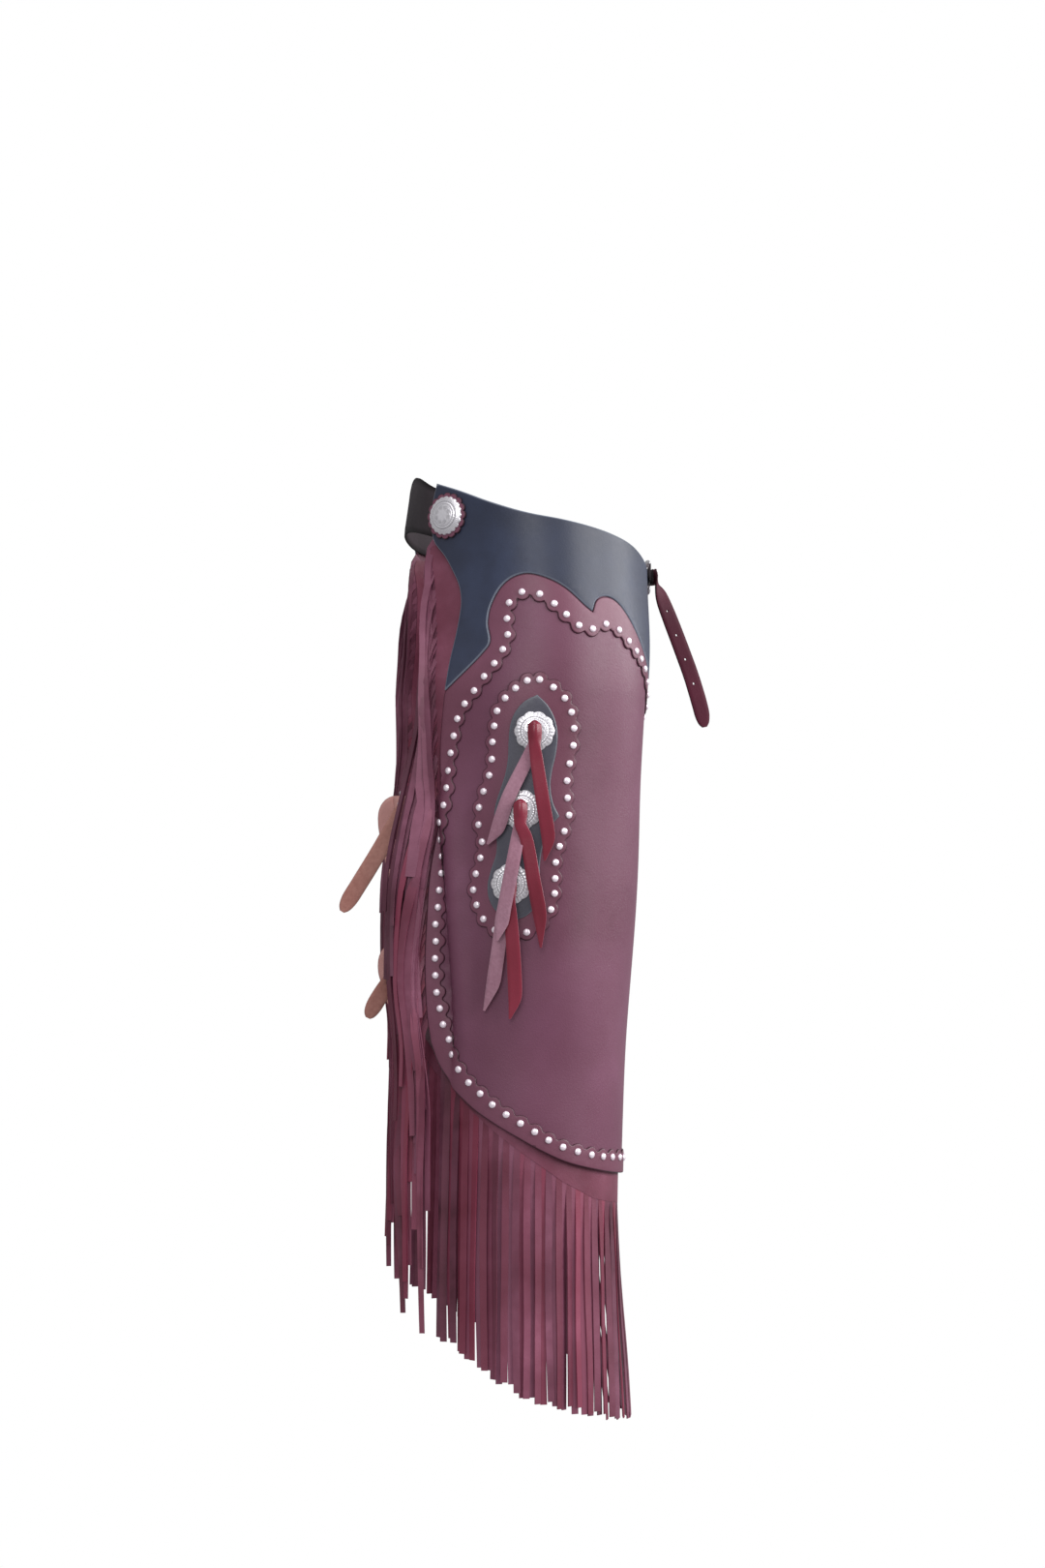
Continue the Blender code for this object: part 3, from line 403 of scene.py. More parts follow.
def bends(p0, p1, p2, p3, count, axes=None):
    """Points of a rounded bend from p1 towards p2; axes says which numbers are a place."""
    d1, d2, d3 = (max(np.linalg.norm((q - p)[:axes]), 1e-6) ** 0.5
                  for p, q in ((p0, p1), (p1, p2), (p2, p3)))
    m1 = ((p1 - p0) / d1 - (p2 - p0) / (d1 + d2) + (p2 - p1) / d2) * d2
    m2 = ((p2 - p1) / d2 - (p3 - p1) / (d2 + d3) + (p3 - p2) / d3) * d2
    return [curve(k / count, p1, m1, p2, m2) for k in range(count)]


def smooth_path(points, step, closed=False, corner=48.0):
    """A path through points with rounded bends; sharp turns stay sharp."""
    points = [np.array(p, float) for p in points]
    n = len(points)
    sharp = set() if closed else {0, n - 1}
    for i in range(n):
        if i in sharp:
            continue
        a, b = points[i] - points[i - 1], points[(i + 1) % n] - points[i]
        cos = np.dot(a, b) / (np.linalg.norm(a) * np.linalg.norm(b) + 1e-9)
        if cos < math.cos(math.radians(corner)):
            sharp.add(i)
    out = []
    spans = n if closed else n - 1
    for i in range(spans):
        p1, p2 = points[i], points[(i + 1) % n]
        p0 = 2 * p1 - p2 if i in sharp else points[i - 1]
        p3 = 2 * p2 - p1 if (i + 1) % n in sharp else points[(i + 2) % n]
        out += bends(p0, p1, p2, p3, max(1, int(round(np.linalg.norm(p2 - p1) / step))))
    if not closed:
        out.append(points[-1])
    return np.array(out)


def collar(rings, sides, first=0):
    """Faces between a row of rings of points."""
    faces = []
    for a in range(first, first + (rings - 1) * sides):
        b = a + 1 if (a - first) % sides < sides - 1 else a + 1 - sides
        faces.append((a, b, b + sides, a + sides))
    return faces


def cap(first, sides):
    """The face that closes the first of a row of rings."""
    return tuple(range(first + sides - 1, first - 1, -1))


def tube(rings, sides, first=0):
    """Faces round a row of rings of points, with a cap at each end."""
    last = first + (rings - 1) * sides
    return [cap(first, sides)] + collar(rings, sides, first) + [cap(last, sides)[::-1]]


def spokes(u, v, sides):
    """Angles round a disc, each with its direction from the axes u and v."""
    angles = [2 * math.pi * k / sides for k in range(sides)]
    return [(a, u * math.cos(a) + v * math.sin(a)) for a in angles]


def inside(outline, spots):
    hit = np.zeros(len(spots), bool)
    for (s0, z0), (s1, z1) in zip(outline, np.roll(outline, -1, axis=0)):
        if z0 == z1:
            continue
        cross = (z0 > spots[:, 1]) != (z1 > spots[:, 1])
        hit ^= cross & (spots[:, 0] < s0 + (spots[:, 1] - z0) / (z1 - z0) * (s1 - s0))
    return hit


def distance(outline, spots):
    best = np.full(len(spots), 1e9)
    for a, b in zip(outline, np.roll(outline, -1, axis=0)):
        way = b - a
        u = np.clip(((spots - a) @ way) / max(way @ way, 1e-9), 0, 1)
        best = np.minimum(best, np.linalg.norm(spots - a - u[:, None] * way, axis=1))
    return best


def area_of(outline):
    s, z = outline.T
    return abs(np.dot(s, np.roll(z, -1)) - np.dot(z, np.roll(s, -1))) / 2


def clean_outline(outline):
    """An outline without points that lie almost on the one before."""
    least = 0.25
    kept = [outline[0]]
    for p in outline[1:]:
        if np.linalg.norm(p - kept[-1]) > least:
            kept.append(p)
    if np.linalg.norm(kept[-1] - kept[0]) < least:
        kept.pop()
    return np.array(kept)


def hide(name, outline, layer, finishes, side, step=4.0, round_=0.9, reach=1.3, rim_reach=None):
    """A piece of hide cut to an outline on the sheet, with rounded upper edges."""
    low, high = layer
    outline = clean_outline(np.array(outline, float))
    after, before = np.roll(outline, -1, axis=0), np.roll(outline, 1, axis=0)
    way = after - before
    way /= np.linalg.norm(way, axis=1)[:, None] + 1e-9
    left = np.stack([-way[:, 1], way[:, 0]], axis=1)
    spots = [outline]
    for share in (0.45, 1.0):
        for sign in (1, -1):
            ring = outline + left * sign * reach * share
            far = distance(outline, ring)
            spots.append(ring[inside(outline, ring) & (far > reach * share * 0.85)])
    s = np.arange(outline[:, 0].min(), outline[:, 0].max(), step)
    z = np.arange(outline[:, 1].min(), outline[:, 1].max(), step)
    field = np.array([(a + (step / 2 if k % 2 else 0), b) for k, b in enumerate(z) for a in s])
    field = field[inside(outline, field)]
    spots.append(field[distance(outline, field) > reach + step * 0.35])
    every = np.concatenate(spots)
    edges = [(i, (i + 1) % len(outline)) for i in range(len(outline))]
    out = delaunay_2d_cdt([Vector(p) for p in every], edges, [], 0, 0.02)
    flat = np.array([tuple(p) for p in out[0]])
    cells = np.array([tuple(t) for t in out[2]])
    cells = cells[inside(outline, flat[cells].mean(axis=1))]
    used = np.unique(cells)
    renumber = np.full(len(flat), -1)
    renumber[used] = np.arange(len(used))
    flat, cells = flat[used], renumber[cells]
    a, b, c = (flat[cells[:, k]] for k in range(3))
    turn = (b[:, 0] - a[:, 0]) * (c[:, 1] - a[:, 1]) - (b[:, 1] - a[:, 1]) * (c[:, 0] - a[:, 0])
    cells[turn < 0] = cells[turn < 0][:, [0, 2, 1]]
    cells = cells[np.abs(turn) > 1e-6]
    gap = distance(outline, flat)
    share = np.clip(gap / reach, 0, 1)
    off = high - round_ * (1 - np.sqrt(1 - (1 - share) ** 2))
    upper, lower = wall(flat[:, 0], flat[:, 1], off), wall(flat[:, 0], flat[:, 1], low)
    count = len(flat)
    faces, picks = [], []
    seen = set()
    for a, b, c in cells.tolist():
        faces.append((a, b, c))
        faces.append((a + count, c + count, b + count))
        picks += [0, 1 if len(finishes) > 1 else 0]
        seen.update(((a, b), (b, c), (c, a)))
    for a, b in sorted(seen):
        if (b, a) not in seen:
            faces.append((b, a, a + count, b + count))
            picks.append(0)
    rim = np.clip(1 - gap / (rim_reach or reach), 0, 1)
    rim = np.concatenate([rim, np.where(gap < 0.01, 1.0, 0.0)])
    return piece(name, np.concatenate([upper, lower]), faces, finishes, side, picks,
                 {"rim": rim}, sharp=50.0)


def shifted(path, distance_):
    """A path moved sideways with mitred corners, to its left for a plus distance."""
    path = [np.array(p, float) for p in path]
    sides = []
    for p, q in zip(path, path[1:]):
        way = (q - p) / max(np.linalg.norm(q - p), 1e-9)
        sides.append(np.array([-way[1], way[0]]))
    out = []
    for i, p in enumerate(path):
        m = sides[max(i - 1, 0)] + sides[min(i, len(sides) - 1)]
        size = max(np.linalg.norm(m), 1e-6)
        out.append(p + m / size * distance_ / max(size / 2, 0.4))
    return out


def scallops(spots, closed=False):
    """The scalloped edge round a row of spots, bulging to the left of their order."""
    reach = 7.6
    notch = 0.52 * reach
    spots = [np.array(p, float) for p in spots]
    n = len(spots)
    out = []
    for i, spot in enumerate(spots):
        before = spots[i - 1] if (closed or i > 0) else spot
        after = spots[(i + 1) % n] if (closed or i < n - 1) else spot
        way = (after - before) / np.linalg.norm(after - before)
        left = np.array([-way[1], way[0]])
        for angle in np.radians(np.linspace(-52, 52, 7)):
            out.append(spot + reach * (left * math.cos(angle) + way * math.sin(angle)))
        if closed or i < n - 1:
            ahead = spots[(i + 1) % n] - spot
            ahead /= np.linalg.norm(ahead)
            out.append((spot + spots[(i + 1) % n]) / 2
                       + np.array([-ahead[1], ahead[0]]) * notch)
    return out


def band(name, stations, thick, finishes, side, step, soft=0.35):
    """A strap or string: stations of (middle, width direction, width), smoothed, in mm.

    The first finish is the face towards way x across, the second the other. A fourth
    number raises the middle of the strap there, as when a string is gathered."""
    rows = np.array([(*m, *unit(np.array(a, float)), w, *(more or [0.0]))
                     for m, a, w, *more in stations])
    fine = []
    n = len(rows)
    for i in range(n - 1):
        p1, p2 = rows[i], rows[i + 1]
        p0 = rows[i - 1] if i else 2 * p1 - p2
        p3 = rows[i + 2] if i < n - 2 else 2 * p2 - p1
        count = max(2, int(round(np.linalg.norm((p2 - p1)[:3]) / step)))
        fine += bends(p0, p1, p2, p3, count, axes=3)
    fine.append(rows[-1])
    rows = np.array(fine)
    middles, across, width = rows[:, :3], rows[:, 3:6], np.maximum(rows[:, 6], 0.4)
    lift = np.maximum(rows[:, 7], 0.0)
    way = unit(np.gradient(middles, axis=0))
    across = unit(across - way * np.sum(way * across, axis=1)[:, None])
    normal = np.cross(way, across)
    half = thick / 2
    section = ((-1, 0, -1, 1, 0), (-1, 1, -1, 0, 0), (-0.5, 0, -1, 0, 0.72), (0, 0, -1, 0, 1),
               (0.5, 0, -1, 0, 0.72), (1, -1, -1, 0, 0), (1, 0, -1, 1, 0), (1, 0, 1, -1, 0),
               (1, -1, 1, 0, 0), (0.5, 0, 1, 0, 0.72), (0, 0, 1, 0, 1), (-0.5, 0, 1, 0, 0.72),
               (-1, 1, 1, 0, 0), (-1, 0, 1, -1, 0))
    points, rim = [], []
    for i in range(len(rows)):
        w = width[i] / 2
        cut = min(soft, w * 0.4)
        for a, b, c, d, e in section:
            points.append(middles[i] + across[i] * (a * w + b * cut)
                          + normal[i] * (c * half + d * min(soft, half * 0.8) + e * lift[i]))
            rim.append(1.0 if d else 0.0)
    faces = tube(len(rows), len(section))
    second = [1 if len(finishes) > 1 and k < 6 else 0 for k in range(len(section))]
    picks = [0] + second * (len(rows) - 1) + [0]
    return piece(name, points, faces, finishes, side, picks, {"rim": rim}, sharp=55.0)


def carve(obj, cutters):
    """Cuts closed bodies out of a piece and removes them."""
    for points, faces in cutters:
        mesh = bpy.data.meshes.new("cutter")
        mesh.from_pydata([tuple(np.array(p) * MM) for p in points], [], faces)
        tool = bpy.data.objects.new("cutter", mesh)
        bpy.context.collection.objects.link(tool)
        change = obj.modifiers.new("cut", "BOOLEAN")
        change.operation = "DIFFERENCE"
        change.object = tool
        change.solver = "EXACT"
        bpy.context.view_layer.update()
        made = bpy.data.meshes.new_from_object(obj.evaluated_get(
            bpy.context.evaluated_depsgraph_get()))
        obj.modifiers.remove(change)
        old = obj.data
        obj.data = made
        bpy.data.meshes.remove(old)
        bpy.data.objects.remove(tool)
        bpy.data.meshes.remove(mesh)


# Outlines on the sheet, (s, z) in mm

YOKE_TOP = [(-126, 25), (-100, 17), (-63, 4), (-28, -7), (2, -13), (35, -20), (62, -26),
            (91, -33), (120, -42), (148, -50), (175, -55), (194, -57)]
YOKE_FRONT = [(203, -80), (210, -110), (216, -150), (219, -183)]
YOKE_LOW = [(198, -187), (181, -184), (162, -176), (138, -160), (115, -141), (95, -121),
            (78, -104), (62, -91), (50, -86), (40, -86), (33, -90), (29, -100), (22, -95),
            (2, -78), (-15, -69), (-32, -65), (-45, -68), (-54, -74), (-61, -82),
            (-69, -98), (-71, -112), (-68, -130), (-75, -140), (-109, -174)]
YOKE_REAR = [(-110, -174), (-108, -140), (-103, -108), (-101.5, -90), (-104.5, -75),
             (-110, -64), (-120.5, -46), (-132, -31), (-134.5, -16)]
WALL_REAR = [(-110, -174), (-112, -216), (-113, -280), (-120, -345), (-121, -390),
             (-121, -435), (-117, -480), (-112, -505)]
HEM = [(-112, -505), (-103, -525), (-88, -545), (-68, -563), (-45, -578), (-23, -591),
       (-2, -603), (23, -615), (55, -624), (86, -630), (120, -634), (160, -637), (212, -638)]
WALL_INNER = [(212, -638), (221, -437), (229, -300), (228, -240), (223, -205), (219, -183)]
SPOTS = [(205, -207), (189, -208), (174, -204), (160, -197), (148, -187), (137, -176),
         (125, -164), (113, -152), (101, -143), (90, -136), (76, -127), (61, -117),
         (44, -112), (29, -117), (15, -114), (3, -104), (-8, -94), (-21, -85), (-37, -83),
         (-49, -93), (-51, -108), (-50, -123), (-54, -137), (-61, -150), (-70, -162),
         (-79, -175), (-88, -187), (-95, -201), (-98, -217), (-100, -233), (-101, -250),
         (-102, -266), (-104, -282), (-107, -298), (-109, -314), (-111, -330), (-111, -346),
         (-112, -362), (-112, -378), (-113, -394), (-112, -410), (-112, -426), (-111, -442),
         (-109, -458), (-105, -473), (-101, -488), (-95, -502), (-88, -516), (-80, -529),
         (-70, -541), (-58, -551), (-46, -561), (-33, -570), (-20, -578), (-7, -586),
         (6, -594), (20, -601), (35, -606), (51, -610), (67, -613), (83, -615), (100, -617),
         (116, -619), (132, -620), (148, -621), (164, -622), (180, -622), (196, -622)]
PLAQUE_SPOTS = [(-18, -165), (-5, -172), (6, -182), (13, -195), (16, -210), (16, -226),
                (13, -243), (11, -259), (12, -275), (14, -291), (10, -306), (6, -320),
                (3, -335), (3, -350), (3, -364), (0, -379), (-8, -392), (-21, -400),
                (-36, -402), (-50, -398), (-61, -388), (-68, -375), (-72, -361),
                (-70, -346), (-66, -331), (-65, -316), (-69, -300), (-69, -284),
                (-65, -269), (-60, -254), (-58, -239), (-58, -223), (-57, -208),
                (-55, -194), (-48, -182), (-39, -173), (-29, -166)]
INLAY = [(-19, -179), (-9, -189), (-2, -202), (1, -216), (0, -234), (-3, -250), (-4, -264),
         (-1, -280), (5, -292), (-5, -304), (-9, -319), (-11, -335), (-11, -350),
         (-11, -363), (-14, -376), (-24, -386), (-36, -388), (-48, -382), (-56, -370),
         (-58, -356), (-55, -341), (-51, -327), (-51, -311), (-54, -295), (-53, -281),
         (-49, -267), (-45, -253), (-43, -238), (-43, -222), (-42, -207), (-38, -195),
         (-30, -185)]

# The stack on the wall: inner and outer face of each layer, mm.
PANEL = (0.0, 2.2)
YOKE = (2.5, 4.5)
BORDER = (2.5, 4.0)
PLAQUE = (2.5, 4.0)
INLAID = (4.3, 5.4)
BACKING = (-2.8, -1.0)
CONCHOS = ((-20.0, -213.0), (-29.0, -286.0), (-36.0, -355.0))
CONCHO_RADIUS = 19.0
SPOT_RADIUS = 3.3

CUT_LINE = ((60.0, -138.0), (-33.0, -138.0), (-42.0, -142.5), (-48.0, -141.0),
            (-66.0, -137.0), (-86.0, -134.0), (-110.0, -130.5), (-140.0, -127.0),
            (-174.0, -122.0), (-216.0, -117.5), (-280.0, -116.0), (-345.0, -121.2),
            (-435.0, -122.2), (-480.0, -118.2), (-505.0, -113.2), (-900.0, -112.0))


# How far behind the cut line the outermost strands hang, in mm.
#            height  right  left
BUNCH = (
    (60.0,    8.0,    6.0),
    (-110.0,  9.0,    6.0),
    (-190.0,  15.0,   7.0),
    (-225.0,  21.0,   8.0),
    (-271.0,  31.0,   12.0),
    (-305.0,  36.0,   14.0),
    (-362.0,  41.0,   15.0),
    (-431.0,  39.0,   15.0),
    (-523.0,  36.0,   14.0),
    (-620.0,  33.0,   12.0),
    (-720.0,  24.0,   12.0),
    (-900.0,  20.0,   12.0),
)


def seat(s, z, off, reach):
    """Base point and axes of a flat disc that just clears the wall under it."""
    middle = wall(s, z, off)
    u = unit(wall(s + reach, z, off) - wall(s - reach, z, off))
    w = unit(np.cross(u, wall(s, z + reach, off) - wall(s, z - reach, off)))
    v = np.cross(w, u)
    angle = np.linspace(0, 2 * math.pi, 48)
    ring = np.concatenate([wall(s + k * reach * np.cos(angle), z + k * reach * np.sin(angle), off)
                           for k in (0.5, 0.8, 1.0)])
    top = max(0.0, float(((ring - middle) @ w).max()))
    return middle + w * top, (u, v, w)


def domes(name, spots, off, radius, side):
    """Half-round silver spots in one piece."""
    rings = ((1.0, 0.0), (1.0, 0.16), (0.93, 0.34), (0.72, 0.52), (0.4, 0.64))
    sides = 16
    points, faces = [], []
    for s, z in spots:
        base, (u, v, w) = seat(s, z, off, radius)
        first, top = len(points), len(points) + (len(rings) - 1) * sides
        for size, tall in rings:
            points += [base + spoke * radius * size + w * (tall * radius + 0.05)
                       for angle, spoke in spokes(u, v, sides)]
        points.append(base + w * (radius * 0.68 + 0.05))
        faces += collar(len(rings), sides, first)
        faces += [(top + k, top + (k + 1) % sides, len(points) - 1) for k in range(sides)]
        faces.append(cap(first, sides))
    return piece(name, points, faces, [SPOT], side, attributes={"cut": np.zeros(len(points))},
                 replaces=False)


def concho(name, base, axes, radius, crown, lobes, side, slots=False):
    """An engraved silver concho: a scalloped rim, a beaded ring and a petalled dome."""
    u, v, w = axes
    sides, steps = 144, 40
    points, cut = [], []

    def rim(angle):
        return radius * (0.925 + 0.075 * abs(math.cos(angle * lobes / 2)) ** 0.8)

    for j in range(steps + 1):
        share = j / steps
        for a, spoke in spokes(u, v, sides):
            r = rim(a) * share
            t = r / radius
            tall = 1.2 + crown * (1 - min(t / 0.97, 1.0) ** 2.4)
            groove = math.exp(-((t - 0.70) / 0.022) ** 2) + 0.7 * math.exp(-((t - 0.58) / 0.018) ** 2)
            bead = math.exp(-((t - 0.64) / 0.035) ** 2) * (0.5 + 0.5 * math.cos(a * 34))
            fan = ramp(t, 0.72, 0.78) * (1 - ramp(share, 0.93, 1.0))
            rays = fan * (0.5 + 0.5 * math.cos(a * lobes * 3.0))
            petal = (1 - abs(math.sin(a * 4)) ** 0.7) * max(0.0, 1 - abs(t - 0.34) / 0.2)
            leaf = (0.5 + 0.5 * math.sin(a * 8 + t * 46)) * max(0.0, 1 - abs(t - 0.45) / 0.12)
            relief = -0.55 * groove + 0.4 * bead + 0.42 * rays + 0.5 * petal + 0.25 * leaf
            tall += 0.6 * relief
            # Darkening of the engraving: the grooves and the ground between rays and petals, partly
            # the silver's darkened engraving, partly painted shade in these hollows.
            dark = 0.85 * groove + 0.5 * fan * (1 - rays) * 0.8
            dark += 0.55 * max(0.0, 1 - abs(t - 0.40) / 0.17) * (1 - max(petal, leaf))
            # Painted shade: the string slots are sunk and painted fully dark as the shadow in them.
            if slots:
                x, y = r * math.cos(a), r * math.sin(a)
                for level in (-5.2, 5.2):
                    if abs(x) < 6.0 and abs(y - level) < 1.5:
                        tall = 0.4
                        dark = 1.0
            if j == steps:
                tall = 0.5
            points.append(base + spoke * r + w * tall)
            cut.append(min(max(dark, 0.0), 1.0))
    points += [base + spoke * rim(a) for a, spoke in spokes(u, v, sides)]
    # Painted shade: the side of the rim darkens towards its foot.
    cut += [0.3] * sides
    faces = collar(steps + 2, sides) + [cap((steps + 1) * sides, sides)]
    return piece(name, points, faces, [SILVER], side, attributes={"cut": cut}, sharp=80.0)


def rosette(name, base, axes, radius, side):
    """The scalloped leather disc under the hip concho."""
    u, v, w = axes
    sides, lobes = 128, 16
    points, rim = [], []
    rings = ((0.0, 0.0, 0), (1.0, 0.0, 1), (1.0, 1.3, 1), (0.985, 1.6, 1), (0.94, 1.8, 0),
             (0.5, 1.8, 0), (0.0, 1.8, 0))
    for size, tall, edge in rings:
        for a, spoke in spokes(u, v, sides):
            r = radius * size * (0.95 + 0.05 * (abs(math.cos(a * lobes / 2)) ** 0.6 * 2 - 1))
            points.append(base + spoke * r + w * tall)
            rim.append(float(edge))
    faces = collar(len(rings), sides)
    faces[:sides] = [(a, c, d) for a, b, c, d in faces[:sides]]
    faces[-sides:] = [(a, b, c) for a, b, c, d in faces[-sides:]]
    return piece(name, points, faces, [TRIM], side, attributes={"rim": rim})


def strands(name, runs, thick, side, backing):
    """Fringe: flat strands of four sides, each along its own points, and their backing.

    A run is a list of (s, z, off, half width, twist), a lightness and a redness. The lightness is
    partly random and partly painted shade and light between the strands, and grows a little lighter
    towards the tip."""
    points, faces, tone_and_shade, red = [], [], [], []
    for rows, shade, hue in runs:
        rows = smooth_path(rows, 14.0)
        s, z, off, half, twist = rows.T
        ds, dz = np.gradient(s), np.gradient(z)
        size = np.hypot(ds, dz)
        ds, dz = ds / size, dz / size
        cos, sin = np.cos(twist), np.sin(twist)
        corners = []
        for a, b in ((1, 1), (1, -1), (-1, -1), (-1, 1)):
            out = a * half * sin + b * thick / 2 * cos
            reach = a * half * cos - b * thick / 2 * sin
            corners.append(wall(s + dz * reach, z - ds * reach, off + out))
        corners = np.array(corners)
        first = len(points)
        for i in range(len(rows)):
            points += list(corners[:, i])
            share = i / (len(rows) - 1)
            tone_and_shade += [shade + 0.10 * (share - 0.5)] * 4
            red += [hue] * 4
        faces += [face[::-1] for face in tube(len(rows), 4, first)]
    start = len(points)
    for row in backing:
        for s, z, off in row:
            points.append(wall(s, z, off))
            tone_and_shade.append(0.45)
            red.append(0.15)
    faces += tube(len(backing), len(backing[0]), start)
    return piece(name, points, faces, [FRINGE], side,
                 attributes={"tone_and_shade": tone_and_shade, "red": red}, sharp=30.0)


# The strands of each fringe, and how far off the wall their rows start, in mm.
STRANDS = 60
ROOT_OFF = -1.9


def rear_fringe(name, side):
    """Two strands in three hang near the cut line, in front; the third leans out behind."""
    bunch = 1 if side > 0 else 2
    low, high = BACKING
    pitch = 446.0 / (STRANDS - 1)
    runs = []
    for i in range(STRANDS):
        z = -36.0 - pitch * i
        cut = float(along(CUT_LINE, z))
        behind = i % 3 == 1
        lane = 1.6 * (i // 3 % 4) if behind else 4.0 + 1.35 * (i * 5 % 8)
        reach = 0.74 + 0.26 * hashed(i, 9) if behind else 0.04 + 0.62 * hashed(i, 9)
        length = 284.0 + 24.0 * (hashed(i, 3) - 0.35)
        rows = [(cut + 5.0, z + 5.0, ROOT_OFF, 4.6, 0.0),
                (cut - 1.5, z - 1.5, ROOT_OFF, 4.2, 0.0)]
        for drop, half in ((16.0, 3.9), (34.0, 3.4), (62.0, 3.0), (100.0, 2.8), (145.0, 2.8),
                           (195.0, 2.7), (245.0, 2.7), (length, 2.5)):
            here = z - drop
            settled = ramp(drop, 0.0, 80.0)
            base = settled * float(along(CUT_LINE, here)) + (1.0 - settled) * cut
            lean = reach * float(along(BUNCH, here, bunch))
            filled = 15.0 * ramp(-here, 500.0, 560.0) * max(0.8 - 1.6 * reach, 0.0)
            sway = 2.0 * math.sin(drop / 75.0 + 6.28 * hashed(i, 5)) * ramp(drop, 0.0, 120.0)
            s = base - 4.0 * ramp(drop, 0.0, 16.0) + filled + sway
            s -= lean * (1.0 - math.exp(-max(drop - 8.0, 0.0) / 65.0))
            share = ramp(drop, 0.0, 50.0)
            twist = share * 0.5 * math.sin(drop / 95.0 + 6.28 * hashed(i, 7))
            rows.append((s, here, ROOT_OFF + lane * share, half, twist))
        low_down = ramp(-z, 170.0, 250.0)
        # Painted shade: the strands hanging behind get a darker value, as if shaded by those in front;
        # the rest differs at random.
        shade = 0.3 * hashed(i, 11) + (0.12 if behind else 0.5)
        hue = low_down * (0.25 * hashed(i, 13) + (0.1 if behind else 0.45 * (reach > 0.36)))
        runs.append((rows, shade, hue))
    backing = []
    for z in np.linspace(-34.0, -483.0, 90):
        inner, cut = float(along(REAR_EDGE, z)) + 10.0, float(along(CUT_LINE, z))
        backing.append([(inner, z, low), (inner, z, high), (cut, z, high), (cut, z, low)])
    return strands(name, runs, 1.1, side, backing)


def hem_height(s):
    return float(np.interp(s, [p[0] for p in HEM], [p[1] for p in HEM]))


def hem_fringe(name, side):
    """Strands cut to a slanted line, every second one in front of its neighbours."""
    low, high = BACKING
    pitch = 303.8 / (STRANDS - 1)
    runs = []

    def cut(s):
        return hem_height(s) - float(np.interp(s, [-110, -60, 0, 60, 220], [1, 6, 14, 27, 32]))

    for i in range(STRANDS):
        s0 = -99.5 + pitch * i
        start = cut(s0)
        end = float(np.interp(s0, [-110, -89, -51, -10, 45, 125, 212],
                              [-778, -784, -808, -834, -850, -866, -868]))
        end += 9.0 * (hashed(i, 2) - 0.5)
        start += 10.0 * (hashed(i, 14) - 0.4) * ramp(s0, -60.0, 0.0)
        rows = [(s0, start + 8.0, ROOT_OFF, 2.95, 0.0), (s0, start - 1.0, ROOT_OFF, 2.95, 0.0)]
        for share in (0.12, 0.3, 0.5, 0.72, 1.0):
            z = start + (end - start) * share
            drift = 2.6 * (hashed(i, 4) - 0.5) * share + 1.0 * math.sin(5.0 * share + i)
            lane = (1.5 if i % 2 else -0.9) * ramp(share, 0.0, 0.25)
            lane += 1.6 * (hashed(i, 6) - 0.3) * share
            twist = 1.1 * ramp(share, 0.0, 1.0 / 3.0) * (hashed(i, 8) - 0.5)
            half = 2.95 + 0.5 * ramp(share, 0.0, 0.25) - 0.25 * share
            rows.append((s0 + drift * share, z, ROOT_OFF + lane, half, twist))
        # Painted light and shade: every second strand darker and the others lighter, as the bands of
        # light and shade across the fringe; the rest differs at random.
        shade = (0.22 if i % 2 else 0.5) + 0.36 * hashed(i, 10)
        hue = 0.6 * hashed(i, 12) ** 2
        runs.append((rows, shade, hue))
    backing = []
    for s in np.linspace(-102.0, 206.8, 70):
        top, bottom = hem_height(s) + 15.0, cut(s)
        backing.append([(s, top, low), (s, bottom, low), (s, bottom, high), (s, top, high)])
    return strands(name, runs, 1.2, side, backing)


# The tails of the three strings on the plaque, from the knot to the slanted tip.
#     s      z       off   width
STRINGS = (
    (((-23.5, -235.0, 13.0, 12.0), (-39.5, -275.0, 14.5, 13.0),
      (-48.5, -303.5, 12.0, 13.0), (-57.5, -318.0, 11.0, 2.0)),
     ((-17.5, -240.0, 16.5, 12.0), (-11.5, -277.0, 15.5, 13.0),
      (-5.5, -312.0, 12.5, 13.0), (-8.0, -333.0, 11.0, 2.0))),
    (((-29.5, -304.0, 12.5, 12.0), (-33.5, -340.0, 21.5, 13.0), (-38.5, -375.0, 20.5, 13.0),
      (-41.0, -391.0, 18.0, 13.0), (-44.5, -407.0, 16.5, 2.0)),
     ((-23.5, -312.0, 16.5, 12.0), (-17.0, -350.0, 17.0, 13.0),
      (-10.5, -384.0, 14.5, 13.0), (-8.5, -414.0, 12.0, 2.0))),
    (((-40.0, -375.0, 10.5, 12.0), (-45.5, -420.0, 9.5, 13.0),
      (-49.5, -448.0, 8.5, 13.0), (-57.0, -473.0, 7.5, 2.0)),
     ((-34.5, -383.0, 14.5, 12.0), (-31.6, -415.0, 12.5, 13.0),
      (-28.7, -460.0, 10.0, 13.0), (-33.0, -480.0, 9.5, 2.0))),
)


